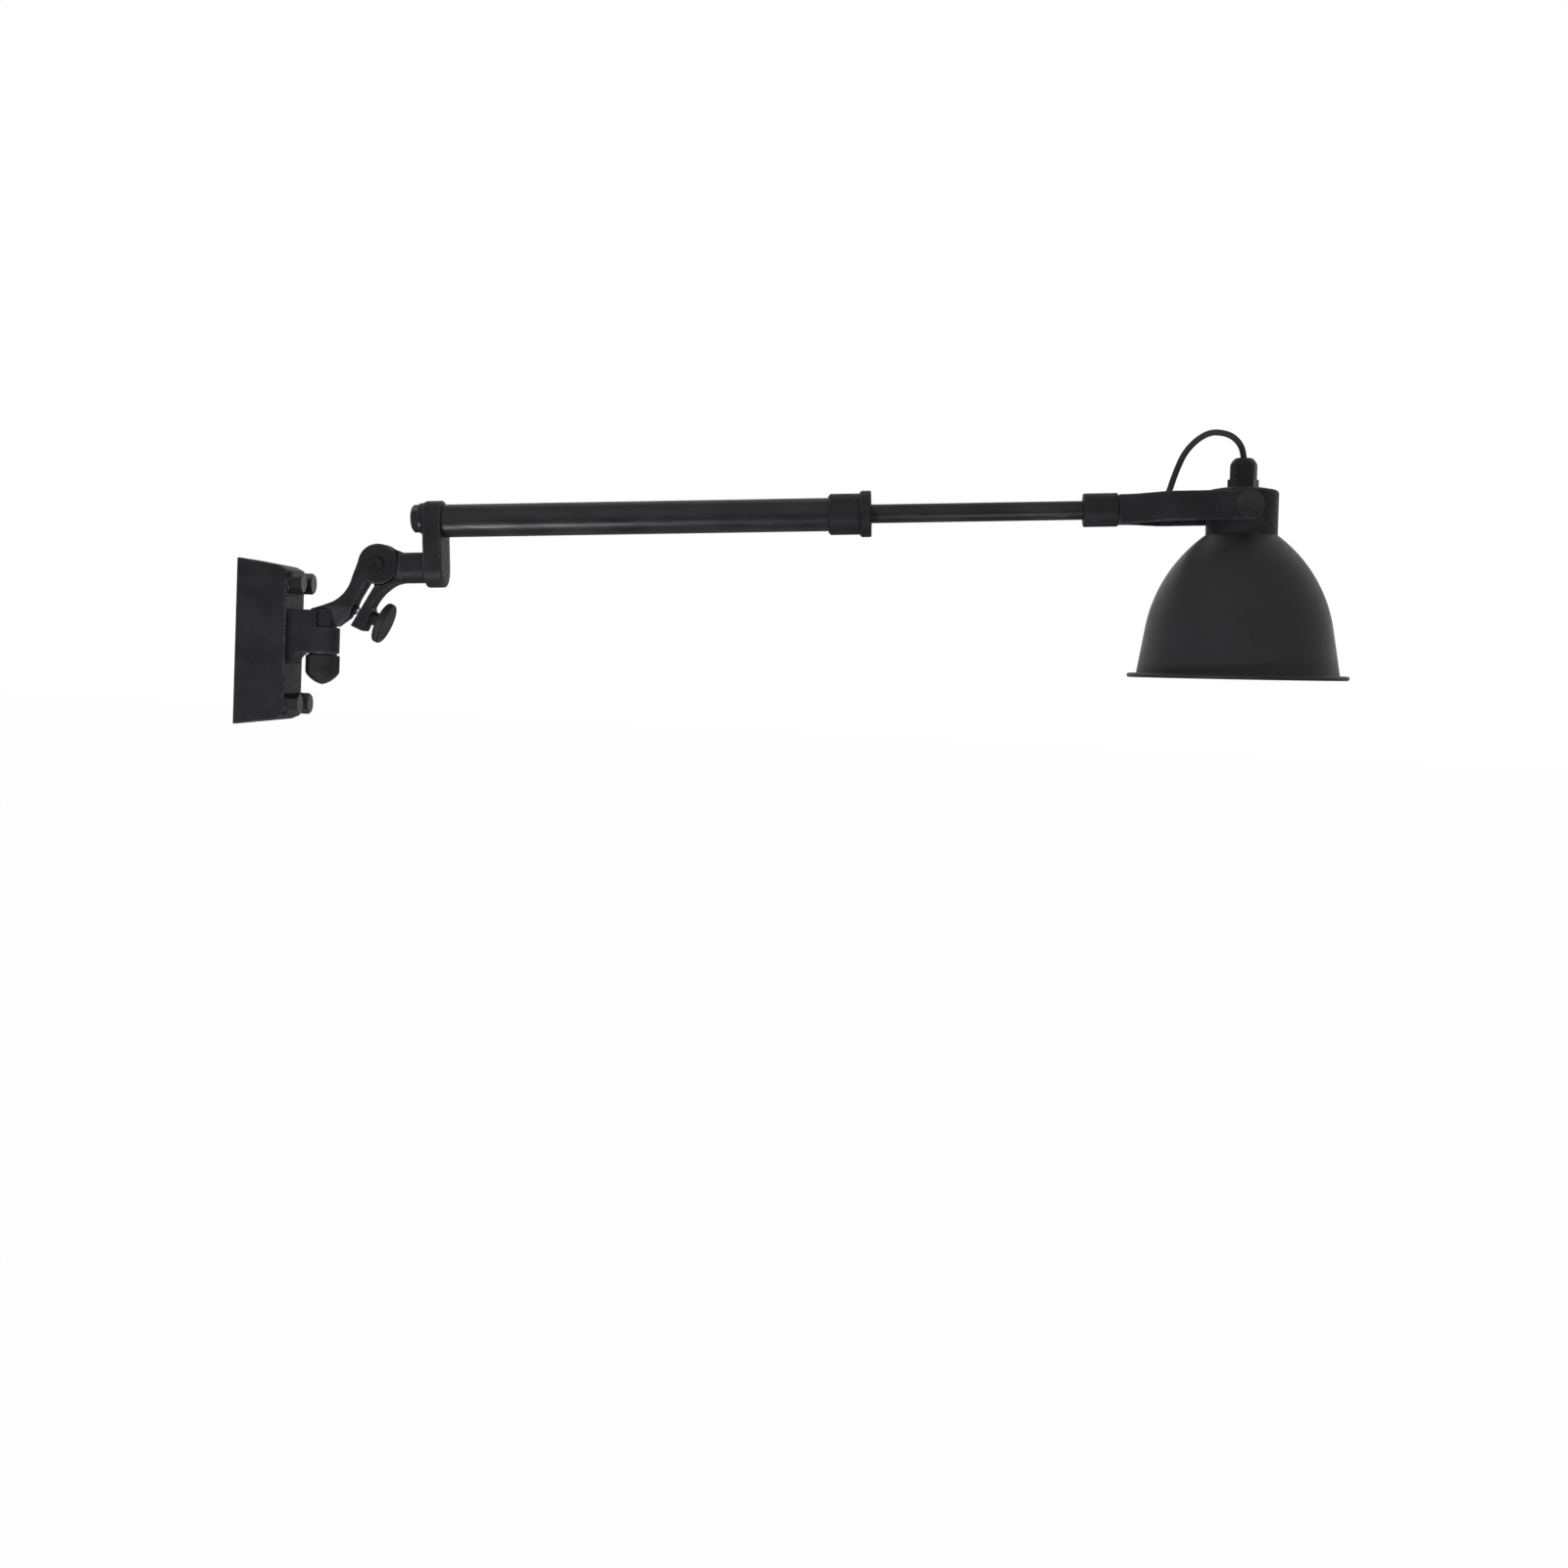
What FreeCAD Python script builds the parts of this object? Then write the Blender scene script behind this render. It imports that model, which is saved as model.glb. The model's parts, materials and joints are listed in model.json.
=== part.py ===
import FreeCAD, Part
import math
import operator
import os
import Sketcher
from FreeCAD import Placement, Rotation, Vector

# Articulating wall lamp, in millimetres and degrees.
# Row frame: the origin is on the wall at the middle of the base's back, +X points away
# from the wall along the arm, +Z is up. The arm is drawn as it stands in use: swung
# straight out, its elbow resting on the stop screw, the rod part way out of the tube.

doc = FreeCAD.newDocument("WallLamp")
sheet = doc.addObject("Spreadsheet::Sheet", "Sizes")

SIZES = {
    # wall base: a tapered box bolted over a wall plate
    "wall_height": 152.0,
    "wall_width": 60.0,
    "front_height": 141.5,
    "front_width": 52.8,
    "brow_depth": 8.0,
    "brow_drop": 3.6,
    "brow_side": 0.6,
    "box_depth": 45.0,
    "box_wall": 3.0,
    "front_wall": 5.0,
    "plate_thick": 3.0,
    "plate_gap": 1.5,
    "wall_hole_radius": 2.75,
    "wall_hole_half_spacing": 42.0,
    "post_radius": 7.0,
    "box_bolt_half_y": 15.0,
    "box_bolt_half_z": 55.5,
    "box_bolt_radius": 5.0,
    "box_bolt_reach": 20.0,
    "box_bolt_across": 17.0,
    "box_bolt_head": 10.5,
    "box_washer_radius": 10.0,
    "box_washer_thick": 2.0,
    "supply_hole_radius": 7.0,
    "supply_hole_z": 14.0,
    "supply_bore_radius": 4.0,
    "terminal_depth": 14.0,
    "terminal_width": 32.0,
    "terminal_height": 16.0,
    "terminal_z": -14.0,
    "terminal_hole_radius": 1.8,
    "terminal_pitch": 10.0,
    "earth_z": 27.0,
    "small_screw_radius": 2.0,
    # swivel bracket on the front of the box, with a vertical barrel
    "swivel_reach": 27.5,
    "barrel_radius": 15.0,
    "barrel_low": -8.0,
    "barrel_top": 16.0,
    "horn_top": 31.6,
    "horn_gap": 2.5,
    "root_low": -19.0,
    "root_half": 23.0,
    "root_round": 8.0,
    "under_round": 15.5,
    "bracket_screw_y": 10.0,
    "bracket_screw_low": -6.0,
    "bracket_screw_high": 23.0,
    "bracket_screw_radius": 3.0,
    "bracket_screw_reach": 9.0,
    "stud_radius": 7.0,
    "bush_wall": 2.0,
    "bush_length": 8.0,
    "hub_washer_thick": 1.0,
    # lower arm: hub, curved leg and the two cheeks of the elbow
    "hub_radius": 12.5,
    "hub_height": 15.3,
    "recess_gap": 0.7,
    "stud_depth": 12.0,
    "stud_washer_thick": 1.5,
    "stud_washer_radius": 13.0,
    "cap_nut_across": 28.0,
    "cap_nut_hex": 15.0,
    "cap_nut_height": 27.0,
    "cap_nut_tip": 3.5,
    "elbow_reach": 51.3,
    "elbow_z": 76.0,
    "disc_radius": 18.7,
    "arm_half": 10.5,
    "foot_half": 3.5,
    "foot_reach": 15.0,
    "facet_rise": 19.0,
    "leg_low_reach": 9.5,
    "leg_low_z": 39.7,
    "leg_high_back": 23.8,
    "leg_high_drop": 13.5,
    "leg_round": 34.0,
    "hub_crown": 36.0,
    "slot_radius": 19.5,
    "elbow_bolt_radius": 4.0,
    "elbow_head_radius": 5.8,
    "elbow_head": 3.2,
    "elbow_socket_across": 6.0,
    "elbow_nut_across": 13.0,
    "elbow_nut_thick": 6.5,
    "elbow_washer_radius": 15.0,
    "elbow_washer_thick": 0.8,
    "elbow_bush_wall": 1.94,
    # knuckle casting: tongue, lug, neck boss and crank plate, in the arm's own frame
    "arm_rise": 3.4,
    "tongue_radius": 18.2,
    "tongue_half": 3.6,
    "boss_drop": 3.6,
    "boss_radius": 14.2,
    "link_start": 43.6,
    "link_thick": 17.4,
    "link_radius": 18.4,
    "link_round": 2.0,
    "tube_height": 38.8,
    "seat_radius": 14.5,
    "seat_thick": 2.6,
    "tube_washer_radius": 14.0,
    "tube_washer_thick": 2.2,
    "tube_bolt_rise": 2.5,
    "tube_bolt_radius": 7.0,
    "tube_bolt_across": 22.0,
    "tube_bolt_head": 7.4,
    "tube_bolt_reach": 22.0,
    "plug_length": 26.0,
    # stop screw in the knuckle's lug, bearing on the lower arm's leg
    "stop_u": -25.05,
    "stop_w": -40.6,
    "stop_slope": 25.9,
    "stop_gap": 5.0,
    "lug_thick": 12.9,
    "lug_end": 14.4,
    "lug_top": 28.0,
    "lug_flare": 5.0,
    "lug_bend": 8.5,
    "lug_shoulder": 8.3,
    "lug_shoulder_top": 37.0,
    "lug_hollow": 46.0,
    "screw_radius": 3.0,
    "pad_radius": 4.5,
    "pad_thick": 2.5,
    "tip_radius": 1.8,
    "tip_length": 1.5,
    "stop_washer_radius": 6.2,
    "stop_washer_thick": 1.5,
    "stop_nut_across": 11.0,
    "stop_nut_thick": 4.6,
    "knob_radius": 19.2,
    "knob_thick": 7.0,
    "knob_gap": 0.5,
    "knob_neck": 2.1,
    "knob_neck_radius": 6.2,
    "knob_dish": 1.4,
    # telescopic arm
    "tube_radius": 15.0,
    "tube_wall": 1.5,
    "tube_length": 369.0,
    "sleeve_radius": 18.5,
    "sleeve_back": 17.4,
    "sleeve_front": 10.4,
    "nose_radius": 14.5,
    "nose_length": 6.6,
    "sleeve_chamfer": 1.0,
    "front_bush_length": 26.0,
    "ring_radius": 20.8,
    "ring_length": 10.4,
    "ring_gap": 0.3,
    "ring_chamfer": 1.8,
    "ring_lip": 1.6,
    "olive_radius": 12.0,
    "rod_radius": 8.5,
    "rod_wall": 2.5,
    "rod_start": 285.0,
    "rod_end": 662.0,
    "guide_length": 24.0,
    "guide_inset": 4.0,
    "clip_radius": 11.5,
    "clip_thick": 1.2,
    "socket_start": 640.4,
    "socket_length": 30.8,
    "socket_radius": 15.0,
    "edge_break": 0.8,
    # fork
    "fork_depth": 26.0,
    "fork_thick": 4.5,
    "fork_half_gap": 34.0,
    "fork_root_half": 13.0,
    "fork_root_length": 12.8,
    "fork_neck": 4.8,
    "fork_bend": 18.0,
    "fork_spread": 42.0,
    "mouth_radius": 4.7,
    "grommet_radius": 7.0,
    "grommet_lip": 1.5,
    "grommet_depth": 9.0,
    # shade and what it carries, in the shade's own frame about its pivot
    "pivot_u": 781.1,
    "shade_lean": -1.7,
    "cap_radius": 31.5,
    "cap_wall": 5.5,
    "cap_low": -24.5,
    "cap_edge": 12.0,
    "cap_seat": 17.5,
    "cap_seat_radius": 15.0,
    "cap_roof": 8.5,
    "cap_boss_radius": 10.0,
    "cap_boss_reach": 33.2,
    "pivot_screw_radius": 4.0,
    "pivot_head_radius": 12.2,
    "pivot_head": 3.0,
    "pivot_washer_thick": 0.7,
    "shade_height": 127.7,
    "shade_thick": 1.4,
    "crown_round": 130.0,
    "skirt_radius": 89.5,
    "skirt_taper": 9.5,
    "skirt_height": 45.0,
    "brim_height": 2.0,
    "brim_radius": 97.2,
    "bead_radius": 2.0,
    "shade_screw_radius": 1.5,
    "shade_screw_head_radius": 2.4,
    "shade_screw_ring": 28.0,
    "shade_screw_reach": 9.0,
    "nipple_radius": 5.0,
    "nipple_bore": 3.5,
    "nipple_up": 10.0,
    "nipple_down": 10.0,
    "holder_nut_across": 14.0,
    "holder_nut_thick": 4.0,
    "holder_radius": 19.5,
    "holder_shoulder": 16.0,
    "holder_length": 44.0,
    "holder_neck": 18.0,
    "bulb_cap_radius": 13.2,
    "bulb_cap_length": 26.0,
    "bulb_cap_out": 2.0,
    "bulb_radius": 22.5,
    "bulb_neck_radius": 12.0,
    "bulb_drop": 52.0,
    "glass_wall": 0.9,
    # cable gland on top of the cap
    "gland_across": 24.0,
    "gland_hex": 7.0,
    "gland_thread_radius": 10.0,
    "gland_thread": 13.5,
    "gland_neck_radius": 8.6,
    "gland_neck": 8.5,
    "gland_bore": 4.5,
    "locknut_across": 27.0,
    "locknut_thick": 4.5,
    "dome_radius": 11.9,
    "dome_across": 22.6,
    "dome_straight": 12.6,
    "dome_height": 18.9,
    "dome_top_radius": 7.4,
    "seal_radius": 6.5,
    "seal_low": 9.6,
    "seal_length": 6.6,
    "cable_radius": 2.75,
    # fits
    "run_gap": 0.05,
    "seat_gap": 0.02,
    "hole_gap": 0.3,
}

for row, (alias, number) in enumerate(SIZES.items(), start=1):
    sheet.set(f"A{row}", alias)
    sheet.set(f"B{row}", str(number))
    sheet.setAlias(f"B{row}", alias)
doc.recompute()

MAKE = {"+": operator.add, "-": operator.sub, "*": operator.mul, "/": operator.truediv}


class Size:
    """A number in use, with the sheet expression that gives it."""

    def __init__(self, value, text):
        self.value = value
        self.text = text

    def __add__(self, other):
        return joined(self, "+", other)

    def __radd__(self, other):
        return joined(other, "+", self)

    def __sub__(self, other):
        return joined(self, "-", other)

    def __rsub__(self, other):
        return joined(other, "-", self)

    def __mul__(self, other):
        return joined(self, "*", other)

    def __rmul__(self, other):
        return joined(other, "*", self)

    def __truediv__(self, other):
        return joined(self, "/", other)

    def __neg__(self):
        return joined(0, "-", self)


class Driving:
    """Reads a driving dimension from the sheet by its alias."""

    def __getattr__(self, alias):
        return Size(float(sheet.get(alias)), f"Sizes.{alias}")


def as_size(number):
    """A Size as it is, or a plain number made one."""
    if isinstance(number, Size):
        return number
    return Size(float(number), f"({float(number)})")


def joined(left, sign, right):
    """Two sizes joined by one of the four signs."""
    left = as_size(left)
    right = as_size(right)
    return Size(MAKE[sign](left.value, right.value), f"({left.text} {sign} {right.text})")


def sine(angle):
    return Size(math.sin(math.radians(angle.value)), f"sin({angle.text})")


def cosine(angle):
    return Size(math.cos(math.radians(angle.value)), f"cos({angle.text})")


def tangent(angle):
    return sine(angle) / cosine(angle)


def root(size):
    return Size(math.sqrt(size.value), f"sqrt({size.text})")


def corner_radius(across):
    """A hexagon's corner radius from its width across flats."""
    return across / math.sqrt(3)


def bind(obj, name, value):
    """Ties a property of an object to the sheet."""
    obj.setExpression(name, as_size(value).text)


d = Driving()

# ---------------------------------------------------------------- frames

WORLD = None
SWIVEL_X = d.box_depth + d.swivel_reach
ELBOW_X = SWIVEL_X + d.elbow_reach
ARM = (ELBOW_X, d.elbow_z, d.arm_rise)


def from_arm(u, w):
    """A point of the arm's frame in the row frame."""
    x = ELBOW_X + cosine(d.arm_rise) * u - sine(d.arm_rise) * w
    z = d.elbow_z + sine(d.arm_rise) * u + cosine(d.arm_rise) * w
    return x, z


TUBE_AXIS = from_arm(0, d.tube_height)
PIVOT = from_arm(d.pivot_u, d.tube_height)
CONTACT = from_arm(d.stop_u, d.stop_w)

TUBE = (TUBE_AXIS[0], TUBE_AXIS[1], d.arm_rise)
SHADE = (PIVOT[0], PIVOT[1], d.arm_rise + d.shade_lean)
STOP = (CONTACT[0], CONTACT[1], d.arm_rise - d.stop_slope)

RISING = Vector(0, -1, 0)
parts = []


def finish(obj, node, frame=WORLD):
    """Names a sub-part and sets it in its frame."""
    obj.Label = node
    if frame is not WORLD:
        obj.Placement = Placement(Vector(), Rotation(RISING, 1))
        bind(obj, "Placement.Base.x", frame[0])
        bind(obj, "Placement.Base.z", frame[1])
        bind(obj, "Placement.Rotation.Angle", frame[2])
    parts.append(obj)
    return obj


# ---------------------------------------------------------------- primitives

TURNS = {
    "X": Rotation(Vector(0, 1, 0), 90),
    "Y": Rotation(Vector(1, 0, 0), -90),
    "Z": Rotation(),
}
count = {"made": 0}


def new(kind):
    """A new object with a plain running name."""
    count["made"] += 1
    return doc.addObject(kind, f"Step{count['made']:03d}")


def place(obj, at, along="Z"):
    """Turns a primitive along an axis and ties its base point to the sheet."""
    obj.Placement = Placement(Vector(), TURNS[along])
    for axis, value in zip("xyz", at):
        bind(obj, f"Placement.Base.{axis}", value)
    return obj


def cylinder(radius, length, at, along="Z"):
    obj = new("Part::Cylinder")
    bind(obj, "Radius", radius)
    bind(obj, "Height", length)
    return place(obj, at, along)


def hexagon(across, length, at, along="Z"):
    obj = new("Part::Prism")
    obj.Polygon = 6
    bind(obj, "Circumradius", corner_radius(as_size(across)))
    bind(obj, "Height", length)
    return place(obj, at, along)


def block(length, width, height, at):
    obj = new("Part::Box")
    bind(obj, "Length", length)
    bind(obj, "Width", width)
    bind(obj, "Height", height)
    return place(obj, at)


def fuse(*shapes):
    obj = new("Part::MultiFuse")
    obj.Shapes = list(shapes)
    return obj


def group(*shapes):
    obj = new("Part::Compound")
    obj.Links = list(shapes)
    return obj


def common(base, tool):
    obj = new("Part::Common")
    obj.Base = base
    obj.Tool = tool
    return obj


def cut(base, *tools):
    obj = new("Part::Cut")
    obj.Base = base
    obj.Tool = tools[0] if len(tools) == 1 else fuse(*tools)
    return obj


def ring(outer, inner, length, at, along="Z"):
    """A washer, bush or tube."""
    start = {"X": 0, "Y": 1, "Z": 2}[along]
    low = list(at)
    low[start] = low[start] - 1
    return cut(cylinder(outer, length, at, along), cylinder(inner, length + 2, low, along))


# ---------------------------------------------------------------- sketched bodies

class Bow:
    """An arc from a corner to the next one; side is +1 if its centre lies to the left."""

    def __init__(self, radius, side):
        self.radius = as_size(radius)
        self.side = side

    def middle(self, start, end):
        chord = end - start
        half = chord.Length / 2
        left = Vector(-chord.y, chord.x, 0).normalize()
        sag = self.radius.value - math.sqrt(self.radius.value ** 2 - half ** 2)
        return (start + end) / 2 - left * (self.side * sag)


def draw(sketch, outline):
    """Draws a closed outline whose corners and arc radii are tied to the sheet.

    A corner is (x, y), or (x, y, Bow) where the edge to the next corner is an arc.
    """
    corners = [Vector(as_size(c[0]).value, as_size(c[1]).value, 0) for c in outline]
    edges = []
    for i, corner in enumerate(outline):
        start = corners[i]
        end = corners[(i + 1) % len(corners)]
        bow = corner[2] if len(corner) == 3 else None
        if bow is None:
            geo = sketch.addGeometry(Part.LineSegment(start, end), False)
            edges.append((geo, 1, 2))
            continue
        geo = sketch.addGeometry(Part.Arc(start, bow.middle(start, end), end), False)
        gaps = [sketch.getPoint(geo, end_of).distanceToPoint(start) for end_of in (1, 2)]
        forward = gaps[0] < gaps[1]
        edges.append((geo, 1, 2) if forward else (geo, 2, 1))
    for i, corner in enumerate(outline):
        geo, head, tail = edges[i]
        after = edges[(i + 1) % len(edges)]
        sketch.addConstraint(Sketcher.Constraint("Coincident", geo, tail, after[0], after[1]))
        for kind, value in zip(("DistanceX", "DistanceY"), corner[:2]):
            value = as_size(value)
            rule = sketch.addConstraint(Sketcher.Constraint(kind, -1, 1, geo, head, value.value))
            sketch.setExpression(f"Constraints[{rule}]", value.text)
        if len(corner) == 3:
            radius = corner[2].radius
            rule = sketch.addConstraint(Sketcher.Constraint("Radius", geo, radius.value))
            sketch.setExpression(f"Constraints[{rule}]", radius.text)


def new_body():
    return new("PartDesign::Body")


def sketch_on(body, role, *outlines, offset=None):
    """A sketch on one of the body's own origin planes."""
    sketch = body.newObject("Sketcher::SketchObject", f"{body.Name}_Sketch")
    plane = [o for o in body.Origin.OriginFeatures if o.Role == role][0]
    sketch.AttachmentSupport = [(plane, "")]
    sketch.MapMode = "FlatFace"
    if offset is not None:
        bind(sketch, "AttachmentOffset.Base.z", offset)
    for outline in outlines:
        draw(sketch, outline)
    return sketch


def pad(body, sketch, length, symmetric=False):
    feature = body.newObject("PartDesign::Pad", f"{body.Name}_Pad")
    feature.Profile = sketch
    if symmetric:
        feature.SideType = "Symmetric"
    bind(feature, "Length", length)
    body.Tip = feature
    return feature


def pocket(body, sketch):
    feature = body.newObject("PartDesign::Pocket", f"{body.Name}_Pocket")
    feature.Profile = sketch
    feature.Type = "ThroughAll"
    feature.SideType = "Symmetric"
    body.Tip = feature
    return feature


def loft(body, kind, low, *sections):
    feature = body.newObject(kind, f"{body.Name}_Loft")
    feature.Profile = low
    feature.Sections = list(sections)
    feature.Ruled = True
    body.Tip = feature
    return feature


def turned(outline, along="Z"):
    """A body of revolution; the outline's corners are (radius, place along the axis)."""
    body = new_body()
    if along == "X":
        outline = [(c[1], c[0]) + tuple(Bow(b.radius, -b.side) for b in c[2:]) for c in outline]
    sketch = sketch_on(body, "XZ_Plane", outline)
    feature = body.newObject("PartDesign::Revolution", f"{body.Name}_Turn")
    feature.Profile = sketch
    feature.ReferenceAxis = (sketch, ["H_Axis" if along == "X" else "V_Axis"])
    feature.Angle = 360
    body.Tip = feature
    return body


def chamfered(radius, start, end, edge):
    """The outline of a turned solid of one radius with both its edges broken."""
    return [(0, start), (radius - edge, start), (radius, start + edge),
            (radius, end - edge), (radius - edge, end), (0, end)]


def both_sides(make):
    """The same piece made on each side of the middle plane."""
    return [make(side) for side in (-1, 1)]


def corners_of(half_y, low_z, high_z):
    """The four places of a bolt pattern on the front of the base."""
    return [(y, z) for y in (-half_y, half_y) for z in (low_z, high_z)]


# ---------------------------------------------------------------- wall base

def rectangle(half_y, half_z):
    return [(-half_y, -half_z), (half_y, -half_z), (half_y, half_z), (-half_y, half_z)]


FRONT_INSIDE = d.box_depth - d.front_wall
BOLT_PLACES = corners_of(d.box_bolt_half_y, -d.box_bolt_half_z, d.box_bolt_half_z)
BRACKET_PLACES = corners_of(d.bracket_screw_y, d.bracket_screw_low, d.bracket_screw_high)


def make_wall_plate():
    half_y = d.wall_width / 2 - d.box_wall - d.plate_gap
    half_z = d.wall_height / 2 - d.box_wall - d.plate_gap
    plate = block(d.plate_thick, half_y * 2, half_z * 2, (0, -half_y, -half_z))
    holes = [cylinder(d.wall_hole_radius, d.plate_thick + 2, (-1, 0, z), "X")
             for z in (-d.wall_hole_half_spacing, d.wall_hole_half_spacing)]
    holes.append(cylinder(d.supply_hole_radius, d.plate_thick + 2, (-1, 0, d.supply_hole_z), "X"))
    holes.append(cylinder(d.small_screw_radius + d.seat_gap, d.plate_thick + 2, (-1, 0, d.earth_z), "X"))
    finish(cut(plate, *holes), "wall_plate")

    posts = []
    for y, z in BOLT_PLACES:
        post = cylinder(d.post_radius, FRONT_INSIDE - d.plate_thick, (d.plate_thick, y, z), "X")
        thread = cylinder(d.box_bolt_radius + d.seat_gap, d.box_bolt_reach + 1,
                          (FRONT_INSIDE - d.box_bolt_reach - 0.5, y, z), "X")
        posts.append(cut(post, thread))
    finish(group(*posts), "plate_posts")


def make_wiring():
    lip = 2
    grommet = turned([(d.supply_bore_radius, 0), (d.supply_hole_radius - d.hole_gap, 0),
                      (d.supply_hole_radius - d.hole_gap, d.plate_thick),
                      (d.supply_hole_radius + lip, d.plate_thick),
                      (d.supply_hole_radius + lip, d.plate_thick + lip),
                      (d.supply_bore_radius, d.plate_thick + lip)], "X")
    bind(grommet, "Placement.Base.z", d.supply_hole_z)
    finish(grommet, "supply_grommet")

    body = block(d.terminal_depth, d.terminal_width, d.terminal_height,
                 (d.plate_thick, -d.terminal_width / 2, d.terminal_z - d.terminal_height / 2))
    wire_x = d.plate_thick + d.terminal_depth / 3
    cuts = []
    screws = []
    for step in (-1, 0, 1):
        y = d.terminal_pitch * step
        cuts.append(cylinder(d.terminal_hole_radius, d.terminal_height + 2,
                             (wire_x, y, d.terminal_z - d.terminal_height / 2 - 1)))
        top = d.plate_thick + d.terminal_depth
        cuts.append(cylinder(d.small_screw_radius + d.seat_gap, 7, (top - 6, y, d.terminal_z), "X"))
        screw = cylinder(d.small_screw_radius, 5.5, (top - 6, y, d.terminal_z), "X")
        slot_low = d.terminal_z - d.small_screw_radius - 0.5
        slot = block(2, 0.6, d.small_screw_radius * 2 + 1, (top - 1.2, y - 0.3, slot_low))
        screws.append(cut(screw, slot))
    finish(cut(body, *cuts), "terminal_block")
    finish(group(*screws), "terminal_screws")

    head = cylinder(d.small_screw_radius * 2, 2.5, (d.plate_thick, 0, d.earth_z), "X")
    shank = cylinder(d.small_screw_radius, d.plate_thick, (0, 0, d.earth_z), "X")
    finish(fuse(head, shank), "earth_screw")


def make_wall_box():
    body = new_body()
    outer_low = sketch_on(body, "YZ_Plane", rectangle(d.wall_width / 2, d.wall_height / 2))
    brow_x = d.box_depth - d.brow_depth
    outer_brow = sketch_on(body, "YZ_Plane", rectangle(d.front_width / 2, d.front_height / 2),
                           offset=brow_x)
    outer_high = sketch_on(body, "YZ_Plane",
                           rectangle(d.front_width / 2 - d.brow_side, d.front_height / 2 - d.brow_drop),
                           offset=d.box_depth)
    loft(body, "PartDesign::AdditiveLoft", outer_low, outer_brow, outer_high)
    wall = d.box_wall
    slope_y = (d.wall_width - d.front_width) / 2 / brow_x
    slope_z = (d.wall_height - d.front_height) / 2 / brow_x
    inner_low = sketch_on(body, "YZ_Plane", rectangle(d.wall_width / 2 - wall, d.wall_height / 2 - wall))
    inner_high = sketch_on(body, "YZ_Plane",
                           rectangle(d.wall_width / 2 - wall - slope_y * FRONT_INSIDE,
                                     d.wall_height / 2 - wall - slope_z * FRONT_INSIDE),
                           offset=FRONT_INSIDE)
    loft(body, "PartDesign::SubtractiveLoft", inner_low, inner_high)
    holes = [cylinder(d.box_bolt_radius + d.hole_gap, d.front_wall + 2, (FRONT_INSIDE - 1, y, z), "X")
             for y, z in BOLT_PLACES]
    holes += [cylinder(d.bracket_screw_radius + d.hole_gap, d.front_wall + 2, (FRONT_INSIDE - 1, y, z), "X")
              for y, z in BRACKET_PLACES]
    finish(cut(body, *holes), "wall_box")


def make_box_bolts():
    seat = d.box_depth + d.box_washer_thick
    bolts = []
    washers = []
    for y, z in BOLT_PLACES:
        outline = chamfered(corner_radius(d.box_bolt_across) + 0.2, seat, seat + d.box_bolt_head, 1.6)
        outline[1] = (outline[2][0], seat)
        outline[2] = (outline[3][0], seat + d.box_bolt_head / 2)
        round_off = turned(outline, "X")
        bind(round_off, "Placement.Base.y", y)
        bind(round_off, "Placement.Base.z", z)
        head = common(hexagon(d.box_bolt_across, d.box_bolt_head, (seat, y, z), "X"), round_off)
        start = FRONT_INSIDE - d.box_bolt_reach
        shank = cylinder(d.box_bolt_radius, seat - start, (start, y, z), "X")
        bolts.append(fuse(head, shank))
        washers.append(ring(d.box_washer_radius, d.box_bolt_radius + d.hole_gap, d.box_washer_thick,
                            (d.box_depth, y, z), "X"))
    finish(group(*bolts), "box_bolts")
    finish(group(*washers), "box_washers")


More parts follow.
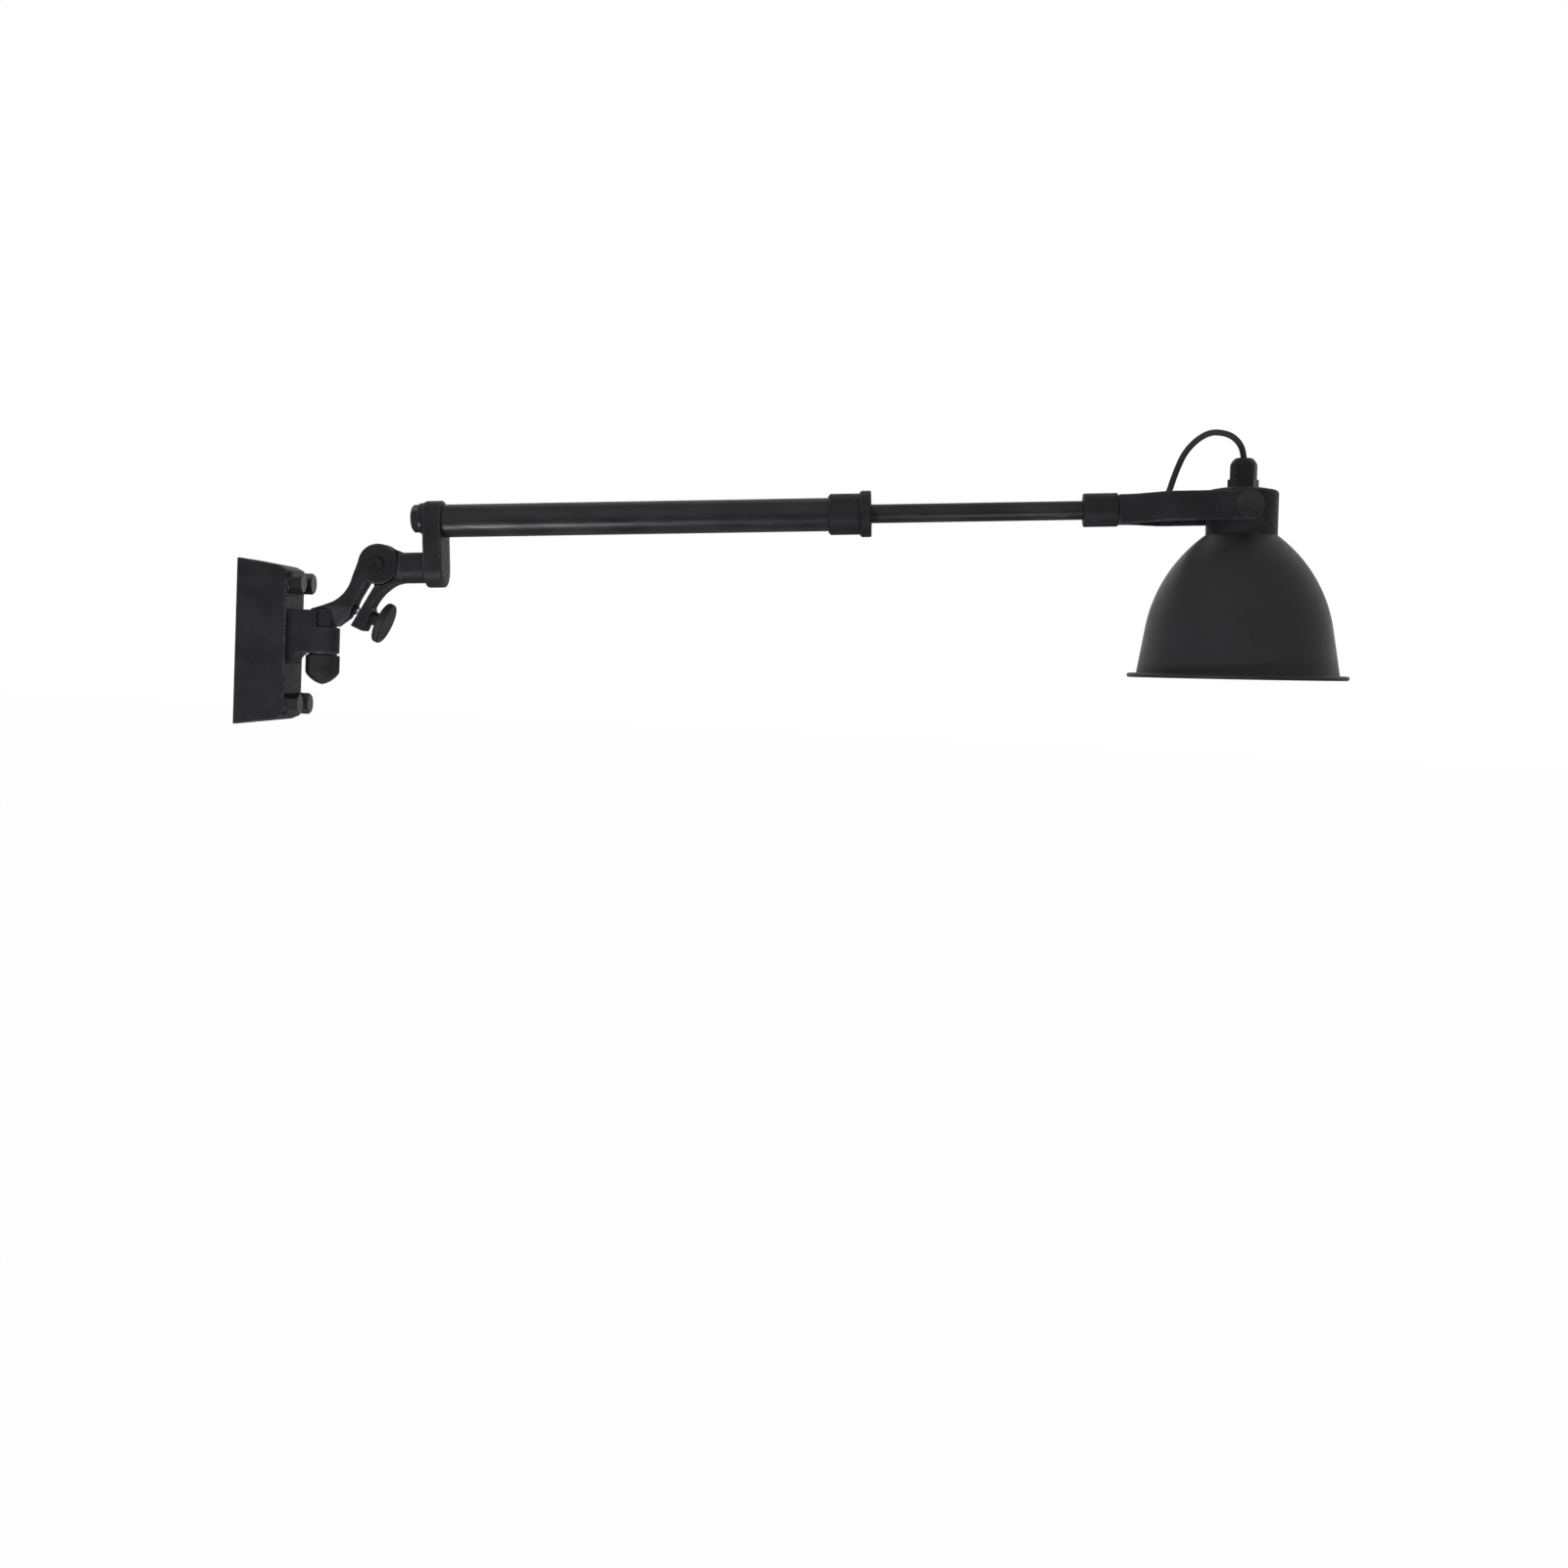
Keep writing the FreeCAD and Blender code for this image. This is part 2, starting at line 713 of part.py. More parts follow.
def make_swivel_bracket():
    body = new_body()
    front = d.box_depth
    r = d.barrel_radius
    side = d.root_round
    bow = Bow(side * 1.01, -1)
    plan = sketch_on(body, "XY_Plane", [
        (front, -d.root_half, bow),
        (front + side, -r),
        (SWIVEL_X, -r, Bow(r, 1)),
        (SWIVEL_X + r, 0, Bow(r, 1)),
        (SWIVEL_X, r),
        (front + side, r, bow),
        (front, d.root_half),
    ], offset=d.root_low)
    pad(body, plan, d.horn_top - d.root_low)
    far = SWIVEL_X + r + 5
    horn_tip = SWIVEL_X - d.horn_gap
    under_start = SWIVEL_X - corner_radius(d.cap_nut_across) - d.hole_gap
    pocket(body, sketch_on(body, "XZ_Plane",
                           [(front + 1, d.root_low - 5), (far, d.root_low - 5), (far, d.barrel_low),
                            (under_start, d.barrel_low, Bow(d.under_round, 1)),
                            (front + 1, d.root_low + 0.7)],
                           [(horn_tip, d.barrel_top), (far, d.barrel_top), (far, d.horn_top + 5),
                            (horn_tip, d.horn_top + 5)]))
    recess = cylinder(d.hub_radius + d.recess_gap, d.horn_top - d.barrel_top + 1,
                      (SWIVEL_X, 0, d.barrel_top))
    bore = cylinder(d.stud_radius + d.run_gap + d.bush_wall, d.barrel_top - d.barrel_low + 2,
                    (SWIVEL_X, 0, d.barrel_low - 1))
    thread_radius = d.bracket_screw_radius + d.seat_gap
    threads = [cylinder(thread_radius, d.bracket_screw_reach + 2, (front - 1, y, z), "X")
               for y, z in BRACKET_PLACES]
    finish(cut(body, recess, bore, *threads), "swivel_bracket")

    screws = []
    for y, z in BRACKET_PLACES:
        head = cylinder(d.bracket_screw_radius * 1.8, 3.4, (FRONT_INSIDE - 3.4, y, z), "X")
        reach = d.front_wall + d.bracket_screw_reach
        shank = cylinder(d.bracket_screw_radius, reach, (FRONT_INSIDE, y, z), "X")
        recess = hexagon(4, 2, (FRONT_INSIDE - 3.5, y, z), "X")
        screws.append(cut(fuse(head, shank), recess))
    finish(group(*screws), "bracket_screws")

    inner = d.stud_radius + d.run_gap
    bushes = [ring(inner + d.bush_wall - d.seat_gap, inner, d.bush_length, (SWIVEL_X, 0, z))
              for z in (d.barrel_low, d.barrel_top - d.bush_length)]
    finish(group(*bushes), "swivel_bushes")
    finish(ring(d.hub_radius - 0.5, inner, d.hub_washer_thick, (SWIVEL_X, 0, d.barrel_top)), "hub_washer")


# ---------------------------------------------------------------- lower arm

HUB_FLOOR = d.barrel_top + d.hub_washer_thick + d.run_gap
SLOT_HALF = d.tongue_half + d.elbow_washer_thick + d.run_gap * 2


def stop_face(along):
    """A point of the face that the stop screw bears on, in the row frame."""
    lean = d.stop_slope - d.arm_rise
    return CONTACT[0] + sine(lean) * along, CONTACT[1] + cosine(lean) * along


def make_lower_arm():
    body = new_body()
    low_x, low_z = stop_face(-9)
    high_x, high_z = stop_face(11)
    inside = d.disc_radius - 2
    crown = d.horn_top + d.recess_gap
    side = sketch_on(body, "XZ_Plane", [
        (SWIVEL_X, HUB_FLOOR),
        (SWIVEL_X + d.foot_reach, HUB_FLOOR),
        (low_x, low_z),
        (high_x, high_z),
        (ELBOW_X - inside * 0.5, d.elbow_z - inside * 0.86),
        (ELBOW_X, d.elbow_z),
        (ELBOW_X - inside * 1.07, d.elbow_z + inside * 0.22),
        (ELBOW_X - d.leg_high_back, d.elbow_z - d.leg_high_drop, Bow(d.leg_round, -1)),
        (SWIVEL_X + d.leg_low_reach, d.leg_low_z),
        (SWIVEL_X, d.hub_crown),
        (SWIVEL_X - d.hub_radius + 1, crown),
        (SWIVEL_X, crown),
    ])
    pad(body, side, d.arm_half * 2, symmetric=True)
    out = d.arm_half + 3
    facet_top = HUB_FLOOR + d.facet_rise

    def facet(hand):
        return [(d.foot_half * hand, HUB_FLOOR), (d.arm_half * hand, facet_top), (out * hand, facet_top),
                (out * hand, HUB_FLOOR - 2), (d.foot_half * hand, HUB_FLOOR - 2)]

    pocket(body, sketch_on(body, "YZ_Plane", *both_sides(facet)))
    hub = cylinder(d.hub_radius, d.hub_height, (SWIVEL_X, 0, HUB_FLOOR))
    disc = turned(chamfered(d.disc_radius, -d.arm_half, d.arm_half, d.edge_break))
    disc.Placement = Placement(Vector(), TURNS["Y"])
    bind(disc, "Placement.Base.x", ELBOW_X)
    bind(disc, "Placement.Base.z", d.elbow_z)
    slot = cylinder(d.slot_radius, SLOT_HALF * 2, (ELBOW_X, -SLOT_HALF, d.elbow_z), "Y")
    pin = cylinder(d.elbow_bolt_radius + d.seat_gap, d.arm_half * 2 + 2,
                   (ELBOW_X, -d.arm_half - 1, d.elbow_z), "Y")
    stud = cylinder(d.stud_radius + d.seat_gap, d.stud_depth + 1, (SWIVEL_X, 0, HUB_FLOOR - 1))
    finish(cut(fuse(body, hub, disc), slot, pin, stud), "lower_arm")


NUT_TOP = d.barrel_low - d.run_gap * 2 - d.stud_washer_thick


def make_swivel_stud():
    low = NUT_TOP - d.cap_nut_hex
    finish(fuse(cylinder(d.stud_radius, HUB_FLOOR + d.stud_depth - low, (SWIVEL_X, 0, low)),
                cylinder(d.stud_radius - 1, 1.5, (SWIVEL_X, 0, low - 1.2))), "swivel_stud")
    finish(ring(d.stud_washer_radius, d.stud_radius + d.hole_gap, d.stud_washer_thick,
                (SWIVEL_X, 0, NUT_TOP)), "stud_washer")

    wide = corner_radius(d.cap_nut_across)
    outline = turned([
        (0, NUT_TOP), (wide - 1, NUT_TOP), (wide, NUT_TOP - 1.2),
        (wide, NUT_TOP - d.cap_nut_hex, Bow(wide * 1.6, -1)),
        (d.cap_nut_tip, NUT_TOP - d.cap_nut_height + 1), (0, NUT_TOP - d.cap_nut_height)])
    bind(outline, "Placement.Base.x", SWIVEL_X)
    hexed = common(hexagon(d.cap_nut_across, d.cap_nut_height + 1,
                           (SWIVEL_X, 0, NUT_TOP - d.cap_nut_height - 1)), outline)
    thread = cylinder(d.stud_radius + d.seat_gap, d.cap_nut_hex + 2.5,
                      (SWIVEL_X, 0, NUT_TOP - d.cap_nut_hex - 1.5))
    finish(cut(hexed, thread), "cap_nut")


def make_elbow_bolt():
    x, z = ELBOW_X, d.elbow_z
    face = d.arm_half
    head = turned([(0, 0), (d.elbow_head_radius, 0), (d.elbow_head_radius, 1, Bow(d.elbow_head_radius, 1)),
                   (d.elbow_head_radius - 1.6, d.elbow_head), (0, d.elbow_head)])
    head.Placement = Placement(Vector(), Rotation(Vector(1, 0, 0), 90))
    bind(head, "Placement.Base.x", x)
    bind(head, "Placement.Base.y", -face)
    bind(head, "Placement.Base.z", z)
    shank = cylinder(d.elbow_bolt_radius, face * 2 + d.elbow_nut_thick + 1.5, (x, -face, z), "Y")
    socket = hexagon(d.elbow_socket_across, 3, (x, -face - d.elbow_head - 1, z), "Y")
    finish(cut(fuse(head, shank), socket), "elbow_bolt")

    nut = hexagon(d.elbow_nut_across, d.elbow_nut_thick, (x, face, z), "Y")
    thread = cylinder(d.elbow_bolt_radius + d.seat_gap, d.elbow_nut_thick + 2, (x, face - 1, z), "Y")
    finish(cut(nut, thread), "elbow_nut")
    inner = d.elbow_bolt_radius + d.run_gap
    washers = [ring(d.elbow_washer_radius, inner, d.elbow_washer_thick, (x, y, z), "Y")
               for y in (-SLOT_HALF + d.run_gap, SLOT_HALF - d.run_gap - d.elbow_washer_thick)]
    finish(group(*washers), "elbow_washers")


# ---------------------------------------------------------------- knuckle and stop screw

def by_stop(along, across):
    """A point of the arm's frame, given along and across the stop screw."""
    u = d.stop_u + cosine(d.stop_slope) * along + sine(d.stop_slope) * across
    w = d.stop_w - sine(d.stop_slope) * along + cosine(d.stop_slope) * across
    return u, w


def make_knuckle():
    lug = new_body()
    lug_far = d.stop_gap + d.lug_thick
    boss_low = -d.boss_drop - d.boss_radius + 0.6
    top = by_stop(d.stop_gap + d.lug_flare, d.lug_top)
    outline = [by_stop(d.stop_gap, -d.lug_end), by_stop(lug_far, -d.lug_end), by_stop(lug_far, 6),
               by_stop(lug_far - 2.1, d.lug_bend) + (Bow(d.lug_hollow, -1),),
               by_stop(lug_far + d.lug_shoulder, d.lug_shoulder_top),
               (d.boss_radius + 8, boss_low), (d.boss_radius + 8, -d.boss_drop), (0, 0), top]
    pad(lug, sketch_on(lug, "XZ_Plane", outline), d.arm_half * 2, symmetric=True)
    boss = cylinder(d.boss_radius, d.link_start, (0, 0, -d.boss_drop), "X")
    clear = cylinder(d.slot_radius, d.boss_radius * 2 + 2, (0, -d.boss_radius - 1, 0), "Y")
    outside = cut(fuse(lug, boss), clear)

    tongue = new_body()
    t = d.tongue_radius
    web = [(0, 0), (0, -t + 0.2), (d.boss_radius + 10, -d.boss_drop - d.boss_radius + 1),
           (d.boss_radius + 10, -d.boss_drop + d.boss_radius - 1), (t * 0.42, t * 0.9)]
    pad(tongue, sketch_on(tongue, "XZ_Plane", web), d.tongue_half * 2, symmetric=True)
    disc = cylinder(t, d.tongue_half * 2, (0, -d.tongue_half, 0), "Y")
    lug_root = block(8, d.tongue_half * 2, 8, (top[0] - 2, -d.tongue_half, top[1] - 1))

    plate = new_body()
    r = d.link_radius
    low = -d.boss_drop
    high = d.tube_height
    stadium = [(-r, low, Bow(r, 1)), (0, low - r, Bow(r, 1)), (r, low),
               (r, high, Bow(r, 1)), (0, high + r, Bow(r, 1)), (-r, high)]
    plate_pad = pad(plate, sketch_on(plate, "YZ_Plane", stadium, offset=d.link_start), d.link_thick)
    doc.recompute()
    rims = [f"Edge{i}" for i, edge in enumerate(plate_pad.Shape.Edges, start=1)
            if edge.BoundBox.XLength < 0.01]
    rounding = plate.newObject("PartDesign::Fillet", f"{plate.Name}_Fillet")
    rounding.Base = (plate_pad, rims)
    bind(rounding, "Radius", d.link_round)
    plate.Tip = rounding

    bolt_w = high + d.tube_bolt_rise
    seat = cylinder(d.seat_radius, d.seat_thick + d.link_round,
                    (d.link_start - d.seat_thick, 0, bolt_w), "X")
    pin = cylinder(d.elbow_bolt_radius + d.run_gap + d.elbow_bush_wall, d.boss_radius * 2,
                   (0, -d.boss_radius, 0), "Y")
    bolt = cylinder(d.tube_bolt_radius + d.hole_gap, d.link_thick + d.seat_thick + 2,
                    (d.link_start - d.seat_thick - 1, 0, bolt_w), "X")
    screw_hole = group(cylinder(d.screw_radius + d.run_gap, d.lug_thick + 4, (d.stop_gap - 2, 0, 0), "X"))
    screw_hole.Placement = Placement(Vector(), Rotation(Vector(0, 1, 0), 1))
    bind(screw_hole, "Placement.Base.x", d.stop_u)
    bind(screw_hole, "Placement.Base.z", d.stop_w)
    bind(screw_hole, "Placement.Rotation.Angle", d.stop_slope)
    casting = fuse(outside, tongue, disc, lug_root, plate, seat)
    finish(cut(casting, pin, bolt, screw_hole), "knuckle", ARM)

    finish(ring(d.elbow_bolt_radius + d.run_gap + d.elbow_bush_wall - d.seat_gap,
                d.elbow_bolt_radius + d.run_gap, d.tongue_half * 2, (0, -d.tongue_half, 0), "Y"),
           "elbow_bush", ARM)


def make_stop_screw():
    inner = d.screw_radius + d.run_gap
    lug_far = d.stop_gap + d.lug_thick
    tip = d.tip_radius + d.run_gap
    pad_floor = d.pad_thick - d.tip_length - d.run_gap
    finish(turned([(0, 0), (d.pad_radius - 0.6, 0), (d.pad_radius, 0.6), (d.pad_radius, d.pad_thick),
                   (tip, d.pad_thick), (tip, pad_floor), (0, pad_floor)], "X"), "thumb_pad", STOP)
    finish(ring(d.stop_washer_radius, inner, d.stop_washer_thick, (lug_far, 0, 0), "X"), "stop_washer", STOP)
    nut_start = lug_far + d.stop_washer_thick
    nut = hexagon(d.stop_nut_across, d.stop_nut_thick, (nut_start, 0, 0), "X")
    finish(cut(nut, cylinder(inner, d.stop_nut_thick + 2, (nut_start - 1, 0, 0), "X")), "stop_locknut", STOP)

    neck = nut_start + d.stop_nut_thick + d.knob_gap
    back = neck + d.knob_neck
    face = back + d.knob_thick
    shoulder = d.pad_thick + d.run_gap
    stem_end = face - 3
    finish(turned([(0, shoulder - d.tip_length), (d.tip_radius, shoulder - d.tip_length),
                   (d.tip_radius, shoulder), (d.screw_radius - 0.5, shoulder),
                   (d.screw_radius, shoulder + 0.5),
                   (d.screw_radius, stem_end), (0, stem_end)], "X"), "thumb_stem", STOP)
    bore = d.screw_radius + d.seat_gap
    r = d.knob_radius
    finish(turned([(bore, neck), (d.knob_neck_radius, neck), (d.knob_neck_radius, back),
                   (r - 1.2, back), (r, back + 1.2), (r, face - 1.4), (r - 1.4, face),
                   (r - 2.6, face), (r - 5, face - d.knob_dish), (0, face - d.knob_dish),
                   (0, stem_end + d.seat_gap), (bore, stem_end + d.seat_gap)], "X"), "thumb_knob", STOP)


# ---------------------------------------------------------------- telescopic arm

TUBE_START = d.link_start + d.link_thick
TUBE_END = TUBE_START + d.tube_length
BORE = d.tube_radius - d.tube_wall
SLEEVE_START = TUBE_END - d.sleeve_back
SLEEVE_FACE = TUBE_END + d.sleeve_front
NOSE_END = SLEEVE_FACE + d.nose_length
RING_START = SLEEVE_FACE + d.ring_gap
RING_END = RING_START + d.ring_length


def make_tube():
    seat = d.link_start - d.seat_thick
    rise = d.tube_bolt_rise
    finish(ring(d.tube_washer_radius, d.tube_bolt_radius + d.hole_gap, d.tube_washer_thick,
                (seat - d.tube_washer_thick, 0, rise), "X"), "tube_bolt_washer", TUBE)
    under = seat - d.tube_washer_thick
    top = under - d.tube_bolt_head
    wide = corner_radius(d.tube_bolt_across)
    outline = turned([(0, top), (wide - 2.4, top), (wide, top + 1.6), (wide + 0.5, under), (0, under)], "X")
    bind(outline, "Placement.Base.z", rise)
    hexed = common(hexagon(d.tube_bolt_across, d.tube_bolt_head, (top, 0, rise), "X"), outline)
    length = d.tube_washer_thick + d.seat_thick + d.link_thick + d.tube_bolt_reach
    finish(fuse(hexed, cylinder(d.tube_bolt_radius, length, (under, 0, rise), "X")), "tube_bolt", TUBE)
    plug = cylinder(BORE - d.seat_gap, d.plug_length, (TUBE_START, 0, 0), "X")
    thread = cylinder(d.tube_bolt_radius + d.seat_gap, d.plug_length + 2, (TUBE_START - 1, 0, rise), "X")
    finish(cut(plug, thread), "tube_plug", TUBE)
    finish(ring(d.tube_radius, BORE, d.tube_length, (TUBE_START, 0, 0), "X"), "outer_tube", TUBE)


def make_collar():
    r = d.sleeve_radius
    bite = d.sleeve_chamfer
    finish(turned([
        (d.tube_radius + d.seat_gap, SLEEVE_START), (r - bite * 2, SLEEVE_START),
        (r, SLEEVE_START + bite * 2),
        (r, SLEEVE_FACE), (d.nose_radius, SLEEVE_FACE), (d.nose_radius, NOSE_END),
        (d.rod_radius + d.hole_gap, NOSE_END), (d.rod_radius + d.hole_gap, TUBE_END),
        (d.tube_radius + d.seat_gap, TUBE_END)], "X"), "collar_sleeve", TUBE)
    finish(ring(BORE - d.seat_gap, d.rod_radius + d.run_gap, d.front_bush_length,
                (TUBE_END - d.front_bush_length, 0, 0), "X"), "front_bush", TUBE)
    lip = RING_END - d.ring_lip
    olive_start = NOSE_END + d.run_gap
    finish(turned([(d.rod_radius + d.run_gap, olive_start), (d.olive_radius, olive_start),
                   (d.olive_radius - 1, lip - d.run_gap), (d.rod_radius + d.run_gap, lip - d.run_gap)], "X"),
           "clamp_olive", TUBE)
    r = d.ring_radius
    finish(turned([
        (d.nose_radius + d.run_gap, RING_START), (r - d.ring_chamfer, RING_START),
        (r, RING_START + d.ring_chamfer), (r, RING_END - 0.8), (r - 0.8, RING_END),
        (d.rod_radius + d.hole_gap, RING_END), (d.rod_radius + d.hole_gap, lip),
        (d.olive_radius + d.run_gap * 2, lip), (d.olive_radius + d.run_gap * 2, NOSE_END),
        (d.nose_radius + d.run_gap, NOSE_END)], "X"), "clamp_ring", TUBE)


def make_rod():
    length = d.rod_end - d.rod_start
    finish(ring(d.rod_radius, d.rod_radius - d.rod_wall, length, (d.rod_start, 0, 0), "X"), "inner_rod", TUBE)
    guide_start = d.rod_start + d.guide_inset
    finish(ring(BORE - d.run_gap, d.rod_radius + d.run_gap, d.guide_length, (guide_start, 0, 0), "X"),
           "rod_guide", TUBE)
    inner_clip = guide_start - d.run_gap * 2 - d.clip_thick
    outer_clip = guide_start + d.guide_length + d.run_gap * 2
    clips = [ring(d.clip_radius, d.rod_radius + d.seat_gap, d.clip_thick, (u, 0, 0), "X")
             for u in (inner_clip, outer_clip)]
    finish(group(*clips), "guide_clips", TUBE)
    start = d.socket_start
    end = start + d.socket_length
    r = d.socket_radius
    e = d.edge_break
    bore = d.rod_radius + d.seat_gap
    finish(turned([(bore, start), (r - e, start), (r, start + e), (r, end - e), (r - e, end),
                   (d.mouth_radius, end), (d.mouth_radius, d.rod_end), (bore, d.rod_end)], "X"),
           "fork_socket", TUBE)


# ---------------------------------------------------------------- fork

FORK_START = d.socket_start + d.socket_length
FORK_OUT = d.fork_half_gap + d.fork_thick
ROOT_FACE = FORK_START + d.fork_root_length


def make_fork():
    body = new_body()
    thick = d.fork_thick
    swing = d.fork_spread
    bend = d.fork_bend
    rise = bend * (1 - cosine(swing))
    run = bend * sine(swing)
    slant = (FORK_OUT - d.fork_root_half - rise * 2) / sine(swing)
    first_u = FORK_START + d.fork_neck + run
    first_y = d.fork_root_half + rise
    next_u = first_u + slant * cosine(swing)
    next_y = FORK_OUT - rise
    arm_u = next_u + run
    inner_next_u = next_u + thick * sine(swing)
    inner_next_y = next_y - thick * cosine(swing)
    root_y = inner_next_y - (inner_next_u - ROOT_FACE) * tangent(swing)

    def half(hand):
        outer = [(FORK_START, d.fork_root_half * hand),
                 (FORK_START + d.fork_neck, d.fork_root_half * hand, Bow(bend, hand)),
                 (first_u, first_y * hand), (next_u, next_y * hand, Bow(bend, -hand)),
                 (arm_u, FORK_OUT * hand), (d.pivot_u, FORK_OUT * hand),
                 (d.pivot_u, d.fork_half_gap * hand),
                 (arm_u, d.fork_half_gap * hand, Bow(bend - thick, hand)),
                 (inner_next_u, inner_next_y * hand), (ROOT_FACE, root_y * hand)]
        return outer

    lower = half(-1)
    upper = half(1)
    upper.reverse()
    turned_round = []
    for i, corner in enumerate(upper):
        behind = upper[i + 1] if i + 1 < len(upper) else None
        if behind is not None and len(behind) == 3:
            turned_round.append(corner[:2] + (Bow(behind[2].radius, -behind[2].side),))
        else:
            turned_round.append(corner[:2])
    pad(body, sketch_on(body, "XY_Plane", lower + turned_round), d.fork_depth, symmetric=True)
    eyes = [cylinder(d.fork_depth / 2, d.fork_thick, (d.pivot_u, y, 0), "Y")
            for y in (-FORK_OUT, d.fork_half_gap)]
    pin = cylinder(d.pivot_screw_radius + d.run_gap, FORK_OUT * 2 + 2, (d.pivot_u, -FORK_OUT - 1, 0), "Y")
    mouth = cylinder(d.mouth_radius, d.fork_root_length + 2, (FORK_START - 1, 0, 0), "X")
    finish(cut(fuse(body, *eyes), pin, mouth), "fork", TUBE)

    inner = d.cable_radius + d.run_gap
    back = ROOT_FACE - d.grommet_depth
    finish(turned([(inner, back), (d.mouth_radius - d.run_gap, back), (d.mouth_radius - d.run_gap, ROOT_FACE),
                   (d.grommet_radius, ROOT_FACE), (d.grommet_radius - 0.6, ROOT_FACE + d.grommet_lip),
                   (inner, ROOT_FACE + d.grommet_lip)], "X"), "mouth_grommet", TUBE)


# ---------------------------------------------------------------- cable loop

# The route from the gland over the fork to the rod's mouth, along and above the rod's axis.
CABLE_ROUTE = [(782.2, 37.0), (782.5, 48.6), (777.0, 59.6), (767.1, 66.1), (750.3, 67.4),
               (731.9, 52.9), (722.3, 32.5), (714.2, 7.4), (698.5, 0.0), (682.4, 0.0)]


def make_cable():
    """Straight runs joined by tangent arcs, each as large as its two runs allow."""
    radius = d.cable_radius.value
    points = [Vector(u, 0, w) for u, w in CABLE_ROUTE]
    edges = []
    here = points[0]
    radii = []
    for i in range(1, len(points) - 1):
        back = points[i - 1] - points[i]
        ahead = points[i + 1] - points[i]
        shorter = min(back.Length, ahead.Length)
        reach = 0.45 * shorter
        half_turn = (math.pi - back.getAngle(ahead)) / 2
        bend = reach / math.tan(half_turn)
        radii.append(round(bend, 1))
        start = points[i] + back.normalize() * reach
        end = points[i] + ahead.normalize() * reach
        toward = (start + end) / 2 - points[i]
        depth = bend / math.cos(half_turn) - bend
        middle = points[i] + toward.normalize() * depth
        edges.append(Part.LineSegment(here, start).toShape())
        edges.append(Part.Arc(start, middle, end).toShape())
        here = end
    edges.append(Part.LineSegment(here, points[-1]).toShape())
    path = Part.Wire(edges)
    ring_edge = Part.Circle(points[0], (points[1] - points[0]), radius).toShape()
    shell = path.makePipeShell([Part.Wire(ring_edge)], True, False)
    tube = new("Part::Feature")
    tube.Shape = shell
    section = math.pi * radius ** 2
    print("cable arc radii", radii, "least allowed", 6 * radius)
    print("cable length", round(path.Length, 2), "volume", round(shell.Volume, 1),
          "section x length", round(section * path.Length, 1))
    finish(tube, "cable_loop", TUBE)


# ---------------------------------------------------------------- shade head

TOP = d.cap_low
RIM = TOP - d.shade_height


def make_pivot():
    screws = []
    washers = []
    rim = 1.0
    crown = d.pivot_head - rim
    dome = (d.pivot_head_radius * d.pivot_head_radius + crown * crown) / (crown * 2)
    for hand in (-1, 1):
        head = turned([(0, 0), (d.pivot_head_radius, 0), (d.pivot_head_radius, rim, Bow(dome, 1)),
                       (0, d.pivot_head)])
        head.Placement = Placement(Vector(), Rotation(Vector(1, 0, 0), -90 * hand))
        bind(head, "Placement.Base.y", (FORK_OUT + d.run_gap) * hand)
        low = d.cap_radius - d.cap_wall + 1.5
        reach = FORK_OUT + d.run_gap - low
        start = low if hand > 0 else -low - reach
        screws.append(fuse(head, cylinder(d.pivot_screw_radius, reach, (0, start, 0), "Y")))
        flat = d.cap_boss_reach if hand > 0 else -d.cap_boss_reach - d.pivot_washer_thick
        washers.append(ring(d.cap_boss_radius, d.pivot_screw_radius + d.run_gap, d.pivot_washer_thick,
                            (0, flat, 0), "Y"))
    finish(group(*screws), "pivot_screws", SHADE)
    finish(group(*washers), "pivot_washers", SHADE)


def shade_screw_places():
    return [(d.shade_screw_ring * math.cos(turn), d.shade_screw_ring * math.sin(turn))
            for turn in (0, 2 * math.pi / 3, 4 * math.pi / 3)]


def make_cap():
    r = d.cap_radius
    roof = d.cap_seat - d.cap_roof
    round_off = r - 3.5
    shell = turned([(0, d.cap_seat), (0, roof), (r - d.cap_wall, roof), (r - d.cap_wall, TOP), (r, TOP),
                    (r, d.cap_edge, Bow(3.6, 1)), (round_off, d.cap_edge + 3.4, Bow(90, 1)),
                    (d.cap_seat_radius, d.cap_seat)])
    bosses = [cylinder(d.cap_boss_radius, d.cap_boss_reach - (r - 4.5), (0, y, 0), "Y")
              for y in (-d.cap_boss_reach, r - 4.5)]
    pin = cylinder(d.pivot_screw_radius + d.seat_gap, d.cap_boss_reach * 2 + 2,
                   (0, -d.cap_boss_reach - 1, 0), "Y")
    gland = cylinder(d.gland_thread_radius + d.run_gap, d.cap_roof + 2, (0, 0, roof - 1))
    threads = [cylinder(d.shade_screw_radius + d.seat_gap, d.shade_screw_reach + 1, (x, y, TOP - 1))
               for x, y in shade_screw_places()]
    finish(cut(fuse(shell, *bosses), pin, gland, *threads), "shade_cap", SHADE)


